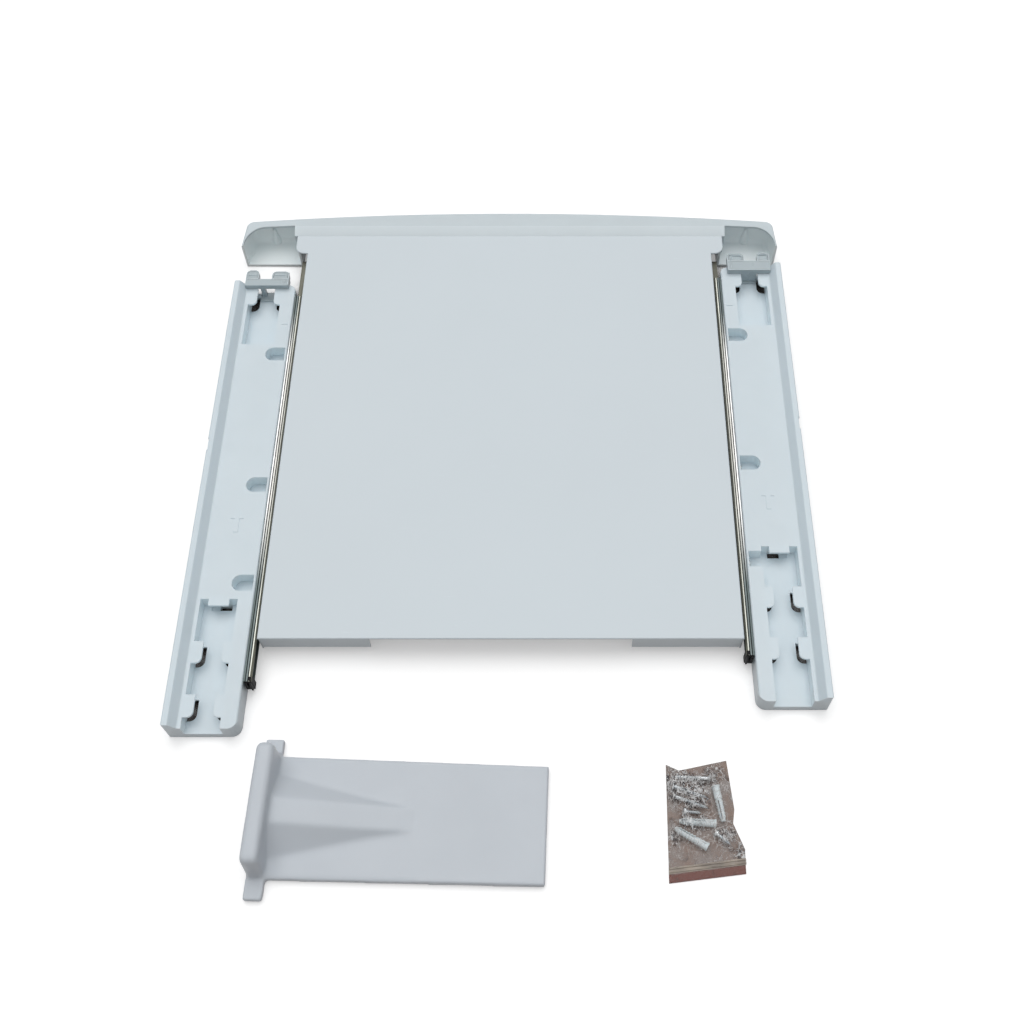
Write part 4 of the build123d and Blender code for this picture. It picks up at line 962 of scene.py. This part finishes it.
RUNNER_SCREW = (0.0036, 0.0022, 0.0019, 0.0041, 0.0008, 0.0004)
PANEL_SCREW = (0.0036, 0.0021, 0.0018, 0.008, 0.0011, 0.0016)
SHELF_SCREW = (0.0029, 0.001, 0.0019, 0.006, 0.0008, 0.0004)
LONG_SCREW = (0.0039, 0.0018, 0.0021, 0.033, 0.0014, 0.005)
SHORT_SCREW = (0.0037, 0.0024, 0.0019, 0.014, 0.0012, 0.003)
SCREW_STEPS = 20
RECESS_ARM = 0.3
RECESS_NARROWING = 0.45


def cross_recess(size, depth):
    """The cutter for a cross recess in a screw head at the origin, with its point along X."""
    arms = []
    for width, height in ((size, RECESS_ARM * size), (RECESS_ARM * size, size)):
        arm = start_block("recess_arm", (-0.001, -width / 2, -height / 2), (depth, width / 2, height / 2))
        pick(arm, "FACE", lambda face: face.normal.x > 0.9)
        bpy.ops.transform.resize(value=(1, RECESS_NARROWING, RECESS_NARROWING), center_override=(depth, 0, 0))
        leave_edit()
        arms.append(arm)
    combine(*arms)
    return arms[0]


def cut_screw(name, outline, recess, start, core, shank, pitch, point):
    """A screw from its outline, with a cross recess and a rolled thread that draws in towards its point."""
    body = turned(name, outline, SCREW_STEPS)
    combine(body, cross_recess(*recess), "DIFFERENCE")
    tip = outline[-1][0]
    thread = threaded(name + "_thread", start, tip - 0.2 * point, 0.94 * core, shank, pitch)
    for vertex in thread.data.vertices:
        share = max(0.04, min(1.0, (tip - vertex.co.x) / point))
        vertex.co.y *= share
        vertex.co.z *= share
    screw = join_pieces([body, thread], name)
    smooth(screw, 40)
    return screw


def pan_head_screw(name, head, height, shank, length, pitch, point):
    """A pan head screw whose head starts at the origin."""
    rim = [(height * (1 - math.cos(step)), head - 0.45 * height * (1 - math.sin(step)))
           for step in (math.radians(angle) for angle in (8, 30, 50, 70, 90))]
    core = 0.78 * shank
    tip = height + length
    outline = [(0, 0), (0.00005, 0.62 * head), *rim, (height, core), (tip - point, core), (tip, 0)]
    return cut_screw(name, outline, (1.05 * head, 0.7 * height), height + 0.0006, core, shank, pitch, point)


def countersunk_screw(name, head, height, shank, length, pitch, point):
    """A countersunk screw whose head starts at the origin."""
    core = 0.74 * shank
    outline = [(0, 0), (0, head - 0.00015), (0.00012, head), (0.0004, head), (height, 0.95 * shank),
               (0.3 * length, 0.95 * shank), (0.32 * length, core), (length - point, core), (length, 0)]
    return cut_screw(name, outline, (1.1 * head, 0.9 * height), 0.27 * length, core, shank, pitch, point)


class STACKKIT_OT_kit_screws(bpy.types.Operator):
    """Models the screws in the rails, runners and front panel"""
    bl_idname = "stackkit.kit_screws"
    bl_label = "Kit Screws"

    def execute(self, context):
        zinc = metal("screw_bright_zinc", (0.62, 0.63, 0.62), 0.25, EVEN, (0.55, 0.52, 0.42, 1))
        runner_screw = pan_head_screw("runner_screw", *RUNNER_SCREW)
        panel_screw = pan_head_screw("panel_screw", *PANEL_SCREW)
        shelf_screw = countersunk_screw("shelf_screw", *SHELF_SCREW)
        for node, screw, axis, body in (("front_panel_screws", panel_screw, 1, "shelf_body"),
                                        ("inner_runner_screws", shelf_screw, 0, "shelf_body"),
                                        ("left_runner_screws", runner_screw, 0, "left_rail_body"),
                                        ("right_runner_screws", runner_screw, 0, "right_rail_body")):
            copies = []
            for place, sign in screw_places(node, axis):
                turn = math.pi / 2 * sign if axis == 1 else (0 if sign > 0 else math.pi)
                copies.append(copied(screw, node + "_copy", place, (0.4 + len(copies), 0, turn)))
            dress(join_pieces(copies, node + "_turned"), zinc, "screw_zinc", body, node)
        for screw in (runner_screw, panel_screw, shelf_screw):
            bpy.data.objects.remove(screw)
        return {"FINISHED"}


class STACKKIT_OT_rear_bracket(bpy.types.Operator):
    """Shapes the rear stop bracket with its soft flange and ridge"""
    bl_idname = "stackkit.rear_bracket"
    bl_label = "Rear Bracket"

    def execute(self, context):
        shapes = context.scene.kit_shapes
        material = plastic("bracket_plastic_moulded", context.scene.kit_colours.bracket, roughness=0.4, glow=0.15)
        bracket = merged_copy("rear_stop_bracket", "rear_bracket_moulding")
        apply_modifier(bracket, "REMESH", mode="VOXEL", voxel_size=shapes.bracket_grain, adaptivity=0.0,
                       use_smooth_shade=True)
        self.soften_top(bracket, shapes)
        dress(bracket, material, "bracket_plastic", "rear_bracket_body", "rear_stop_bracket")
        return {"FINISHED"}

    def soften_top(self, bracket, shapes):
        """Blends the ridge and flange into the plate, on the side that shows."""
        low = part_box("rear_stop_bracket")[0]
        plate_top = low[2] + 0.008
        flange_end = low[0] + 0.0165
        ridge_end = low[0] + 0.15
        soft = bracket.vertex_groups.new(name="soft_top")
        for vertex in bracket.data.vertices:
            place = vertex.co
            if place.z > plate_top - 0.0008 and place.x < ridge_end:
                share = min(1.0, (ridge_end - place.x) / 0.012)
                if place.x < flange_end - 0.002:
                    share *= 0.35
                soft.add([vertex.index], share, "REPLACE")
        apply_modifier(bracket, "SMOOTH", factor=0.5, iterations=shapes.bracket_blend, vertex_group="soft_top")
        apply_modifier(bracket, "SMOOTH", factor=0.5, iterations=3)
        bracket.vertex_groups.clear()


# How the fixings lie in the bag: shares of its width and length, and a turn in degrees

LONG_SCREW_LAY = ((0.1, 0.775, -20.0), (0.11, 0.69, -20.0), (0.59, 0.835, 177.0))
SHORT_SCREW_LAY = ((0.22, 0.565, -5.0), (0.62, 0.395, -40.0))
PLUG_LAY = ((0.665, 0.775, -81.0), (0.64, 0.465, 176.0), (0.515, 0.275, 149.0))

# A wall plug: its radii, its length, where its teeth start and how many they are

PLUG_BARREL, PLUG_TIP, PLUG_BORE, PLUG_COLLAR, PLUG_NECK = 0.0034, 0.0027, 0.0017, 0.0039, 0.0026
PLUG_LENGTH, PLUG_TEETH_START, PLUG_TEETH = 0.032, 0.0131, 6


class STACKKIT_OT_fixings(bpy.types.Operator):
    """Models the loose screws and wall plugs in the bag"""
    bl_idname = "stackkit.fixings"
    bl_label = "Loose Fixings"

    def execute(self, context):
        zinc = metal("loose_screw_zinc", (0.62, 0.65, 0.66), 0.22, EVEN, (0.4, 0.45, 0.5, 1))
        grey = plastic("wall_plug_plastic", context.scene.kit_colours.plug, roughness=0.5, glow=0.2)
        long_screw = countersunk_screw("loose_long_screw", *LONG_SCREW)
        short_screw = pan_head_screw("loose_short_screw", *SHORT_SCREW)
        plug = self.make_plug()
        self.lay_out("long_screws", long_screw, LONG_SCREW_LAY, LONG_SCREW[0], zinc, "screw_zinc")
        self.lay_out("short_screws", short_screw, SHORT_SCREW_LAY, SHORT_SCREW[0], zinc, "screw_zinc")
        self.lay_out("wall_plugs", plug, PLUG_LAY, PLUG_COLLAR, grey, "plug_plastic")
        return {"FINISHED"}

    def lay_out(self, node, master, lay, radius, material, slot):
        """Copies of one fixing on the bag's floor, each at its shares of the bag's width and length."""
        low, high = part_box("fixings_bag")
        copies = []
        for x_share, y_share, turn in lay:
            place = (low[0] + (high[0] - low[0]) * x_share, low[1] + (high[1] - low[1]) * y_share,
                     low[2] + 0.0006 + radius)
            roll = 0.5 + 1.3 * len(copies) if node != "wall_plugs" else 0.35
            copies.append(copied(master, node + "_copy", place, (roll, 0, math.radians(turn))))
        bpy.data.objects.remove(master)
        dress(join_pieces(copies, node + "_modelled"), material, slot, "fixings_bag_body", node)

    def make_plug(self):
        """A wall plug: a collar, a plain barrel and a split end with saw teeth."""
        teeth_start, end = PLUG_TEETH_START, PLUG_LENGTH
        outline = [(0, PLUG_BORE), (0, 0.0037), (0.0002, PLUG_COLLAR), (0.0012, PLUG_COLLAR), (0.0014, PLUG_BARREL),
                   (0.0118, PLUG_BARREL), (0.0121, PLUG_NECK), (teeth_start, PLUG_NECK)]
        run = (end - 0.0025 - teeth_start) / PLUG_TEETH
        for tooth in range(PLUG_TEETH):
            start = teeth_start + tooth * run
            crest = PLUG_BARREL - (PLUG_BARREL - PLUG_TIP) * (start - teeth_start) / end
            outline += [(start + 0.0002, crest), (start + 0.45 * run, crest - 0.0001),
                        (start + run, crest - 0.0008)]
        outline += [(end, 0.0019), (end, PLUG_BORE * 0.7), (end - 0.002, PLUG_BORE), (0, PLUG_BORE)]
        plug = turned("loose_wall_plug", outline, 24)
        slot = start_block("plug_slot", (0.0135, -0.0005, -0.006), (end - 0.0016, 0.0005, 0.006))
        combine(plug, slot, "DIFFERENCE")
        for sign in (-1, 1):
            fin = start_block("plug_fin", (0.0016, -0.0005, sign * 0.0036 - 0.0006),
                              (0.0095, 0.0005, sign * 0.0036 + 0.0006))
            pick(fin, "EDGE", lambda edge: all(abs(vertex.co.z) > 0.0041 and vertex.co.x > 0.009
                                               for vertex in edge.verts))
            bpy.ops.transform.translate(value=(-0.003, 0, 0))
            leave_edit()
            combine(plug, fin)
        soften(plug, 0.00008, 1, 50)
        return plug


# The film's rows and columns of points, its heights, how often it is let sag, and the repeats, height and seed
# of its folds

FILM_COLUMNS, FILM_ROWS = 84, 132
FILM_FLOOR, FILM_SPLIT, FILM_SEAM = 0.00005, 0.0003, 0.0007
FILM_SAG_SWEEPS = 70
FILM_HIGHEST = 0.0093
FILM_FOLDS = ((48.0, 0.0018, 3.1), (115.0, 0.0012, 7.7), (260.0, 0.0006, 12.9))


def along_line(points, place):
    """The height of a line of points at a place."""
    for (start, from_value), (end, to_value) in zip(points, points[1:]):
        if place <= end:
            share = max(0.0, (place - start) / (end - start))
            return from_value + (to_value - from_value) * share
    return points[-1][1]


class STACKKIT_OT_bag(bpy.types.Operator):
    """Models the crinkled film bag over its fixings, and its press-to-close strip"""
    bl_idname = "stackkit.bag"
    bl_label = "Bag"

    def execute(self, context):
        low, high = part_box("fixings_bag")
        self.corner = Vector(low)
        self.size = Vector(high) - Vector(low)
        colours = context.scene.kit_colours
        bag = self.drape_film()
        dress(bag, film("bag_film_crinkled", colours.film, self.corner, self.size), "bag_film", "fixings_bag_body",
              "fixings_bag")
        strip = self.make_strip()
        dress(strip, strip_film("zip_strip_pale", colours.strip), "zip_film", "fixings_bag_body", "bag_zip_strip")
        return {"FINISHED"}

    def bag_place(self, across, along):
        """A point of the bag's outline from its shares across and along, as it lies flat."""
        right = along_line(BAG_RIGHT_EDGE, along)
        left = BAG_LEFT_LEAN * along
        x_share = left + (right - left) * across
        far = along_line(BAG_FAR_EDGE, x_share)
        near = BAG_NEAR_RISE * x_share
        return x_share * self.size.x, (near + (far - near) * along) * self.size.y

    def film_sheet(self, name):
        """A flat closed sheet with the bag's outline, two points thick."""
        sheet = added(bpy.ops.mesh.primitive_grid_add, name, x_subdivisions=FILM_COLUMNS,
                      y_subdivisions=FILM_ROWS, size=1)
        for vertex in sheet.data.vertices:
            x, y = self.bag_place(vertex.co.x + 0.5, vertex.co.y + 0.5)
            vertex.co = (self.corner.x + x, self.corner.y + y, self.corner.z + 0.00008)
        pull_out(sheet, (0, 0, 0.0005))
        return sheet

    def drape_film(self):
        """The top film hangs from one fixing to the next and is crinkled all over."""
        bag = self.film_sheet("bag_film_shell")
        across, along = FILM_COLUMNS + 1, FILM_ROWS + 1
        top = [vertex for vertex in bag.data.vertices if vertex.co.z > self.corner.z + FILM_SPLIT]
        top.sort(key=lambda vertex: vertex.index)
        trees = [BVHTree.FromObject(bpy.data.objects[name], bpy.context.evaluated_depsgraph_get())
                 for name in ("long_screws_modelled", "short_screws_modelled", "wall_plugs_modelled")]
        held = []
        for vertex in top:
            start = Vector((vertex.co.x, vertex.co.y, 0.05))
            hits = [tree.ray_cast(start, Vector((0, 0, -1)))[0] for tree in trees]
            held.append(max([hit.z - self.corner.z + 0.0003 for hit in hits if hit] + [FILM_SEAM]))
        cells = [(index % across, index // across) for index in range(len(top))]
        rims = [column in (0, across - 1) or row in (0, along - 1) or self.past_strip(vertex.co) < 0.002
                for vertex, (column, row) in zip(top, cells)]
        height = [FILM_SEAM if rim else hold for rim, hold in zip(rims, held)]
        for _ in range(FILM_SAG_SWEEPS):
            for index, rim in enumerate(rims):
                if not rim:
                    around = (height[index - 1] + height[index + 1] + height[index - across] +
                              height[index + across]) / 4
                    height[index] = max(held[index], around - 0.00001)
        for vertex, (column, row), level in zip(top, cells, height):
            place = vertex.co
            rim = min(column, across - 1 - column, row, along - 1 - row) / 7
            loose = min(1.0, rim) * max(0.12, min(1.0, (self.past_strip(place) - 0.001) / 0.006))
            vertex.co.z = self.corner.z + min(FILM_HIGHEST, level + self.crinkle(place.x, place.y) * loose)
        for vertex in bag.data.vertices:
            if vertex.co.z < self.corner.z + FILM_SPLIT:
                vertex.co.z = self.corner.z + FILM_FLOOR
        choose(bag)
        bpy.ops.object.shade_smooth()
        return bag

    def strip_middle(self, x):
        """Where the closing strip's middle lies along Y at a place along X."""
        return self.corner.y + STRIP_SEAT + (x - self.corner.x) * STRIP_SLOPE

    def past_strip(self, place):
        """How far a place lies past the closing strip, towards the bag's far end."""
        return place.y - (self.strip_middle(place.x) + STRIP_WIDTH / 2)

    def crinkle(self, x, y):
        """The height of the film's folds at a place: sharp ridges of three sizes."""
        total = 0
        for repeats, height, seed in FILM_FOLDS:
            wave = noise.noise(Vector((x * repeats, y * repeats * 0.75 + x * 9.0, seed)))
            bend = noise.noise(Vector((x * repeats * 0.9 + 5.0, y * repeats, seed + 2.0)))
            total += height * max(0.0, 1.0 - 2.6 * abs(wave + 0.35 * bend))
        return total

    def make_strip(self):
        """The closing strip: two low ribs along a pale band that runs with the bag's near edge."""
        low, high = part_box("bag_zip_strip")
        strip = start_block("zip_strip_band", low, high)
        edit_all(strip)
        bpy.ops.mesh.subdivide(number_cuts=23)
        leave_edit()
        for vertex in strip.data.vertices:
            x, y, z = [(vertex.co[axis] - low[axis]) / (high[axis] - low[axis]) for axis in range(3)]
            ribs = max(0.0, math.cos(4 * math.pi * y + math.pi)) ** 0.5
            wave = 0.85 + 0.15 * noise.noise(Vector((x * 9, y, 2.2)))
            vertex.co.z = low[2] + z * (high[2] - low[2]) * (0.22 + 0.78 * ribs * wave)
            vertex.co.y = self.strip_middle(vertex.co.x) + (y - 0.5) * STRIP_WIDTH
        smooth(strip, 50)
        return strip


class STACKKIT_PT_kit(bpy.types.Panel):
    bl_idname = "STACKKIT_PT_kit"
    bl_label = "Dryer Stacking Kit"
    bl_space_type = "VIEW_3D"
    bl_region_type = "UI"
    bl_category = "Stacking Kit"

    def draw(self, context):
        layout = self.layout
        for operator in OPERATORS:
            layout.operator(operator.bl_idname)
        for group in (context.scene.kit_stage, context.scene.kit_colours, context.scene.kit_shapes):
            box = layout.box()
            for name in group.__annotations__:
                box.prop(group, name)


OPERATORS = (STACKKIT_OT_stage, STACKKIT_OT_rails, STACKKIT_OT_front_panel, STACKKIT_OT_shelf,
             STACKKIT_OT_front_clips, STACKKIT_OT_runners, STACKKIT_OT_kit_screws,
             STACKKIT_OT_rear_bracket, STACKKIT_OT_fixings, STACKKIT_OT_bag)
SETTINGS = (KitStageSettings, KitColourSettings, KitShapeSettings)


def register():
    for made in SETTINGS + OPERATORS + (STACKKIT_PT_kit,):
        bpy.utils.register_class(made)
    bpy.types.Scene.kit_stage = bpy.props.PointerProperty(type=KitStageSettings)
    bpy.types.Scene.kit_colours = bpy.props.PointerProperty(type=KitColourSettings)
    bpy.types.Scene.kit_shapes = bpy.props.PointerProperty(type=KitShapeSettings)


def unregister():
    del bpy.types.Scene.kit_stage
    del bpy.types.Scene.kit_colours
    del bpy.types.Scene.kit_shapes
    for made in reversed(SETTINGS + OPERATORS + (STACKKIT_PT_kit,)):
        bpy.utils.unregister_class(made)


def main():
    """Builds the whole kit."""
    register()
    bpy.ops.stackkit.stage()
    bpy.ops.stackkit.rails()
    bpy.ops.stackkit.front_panel()
    bpy.ops.stackkit.shelf()
    bpy.ops.stackkit.front_clips()
    bpy.ops.stackkit.runners()
    bpy.ops.stackkit.kit_screws()
    bpy.ops.stackkit.rear_bracket()
    bpy.ops.stackkit.fixings()
    bpy.ops.stackkit.bag()


if __name__ == "__main__":
    main()
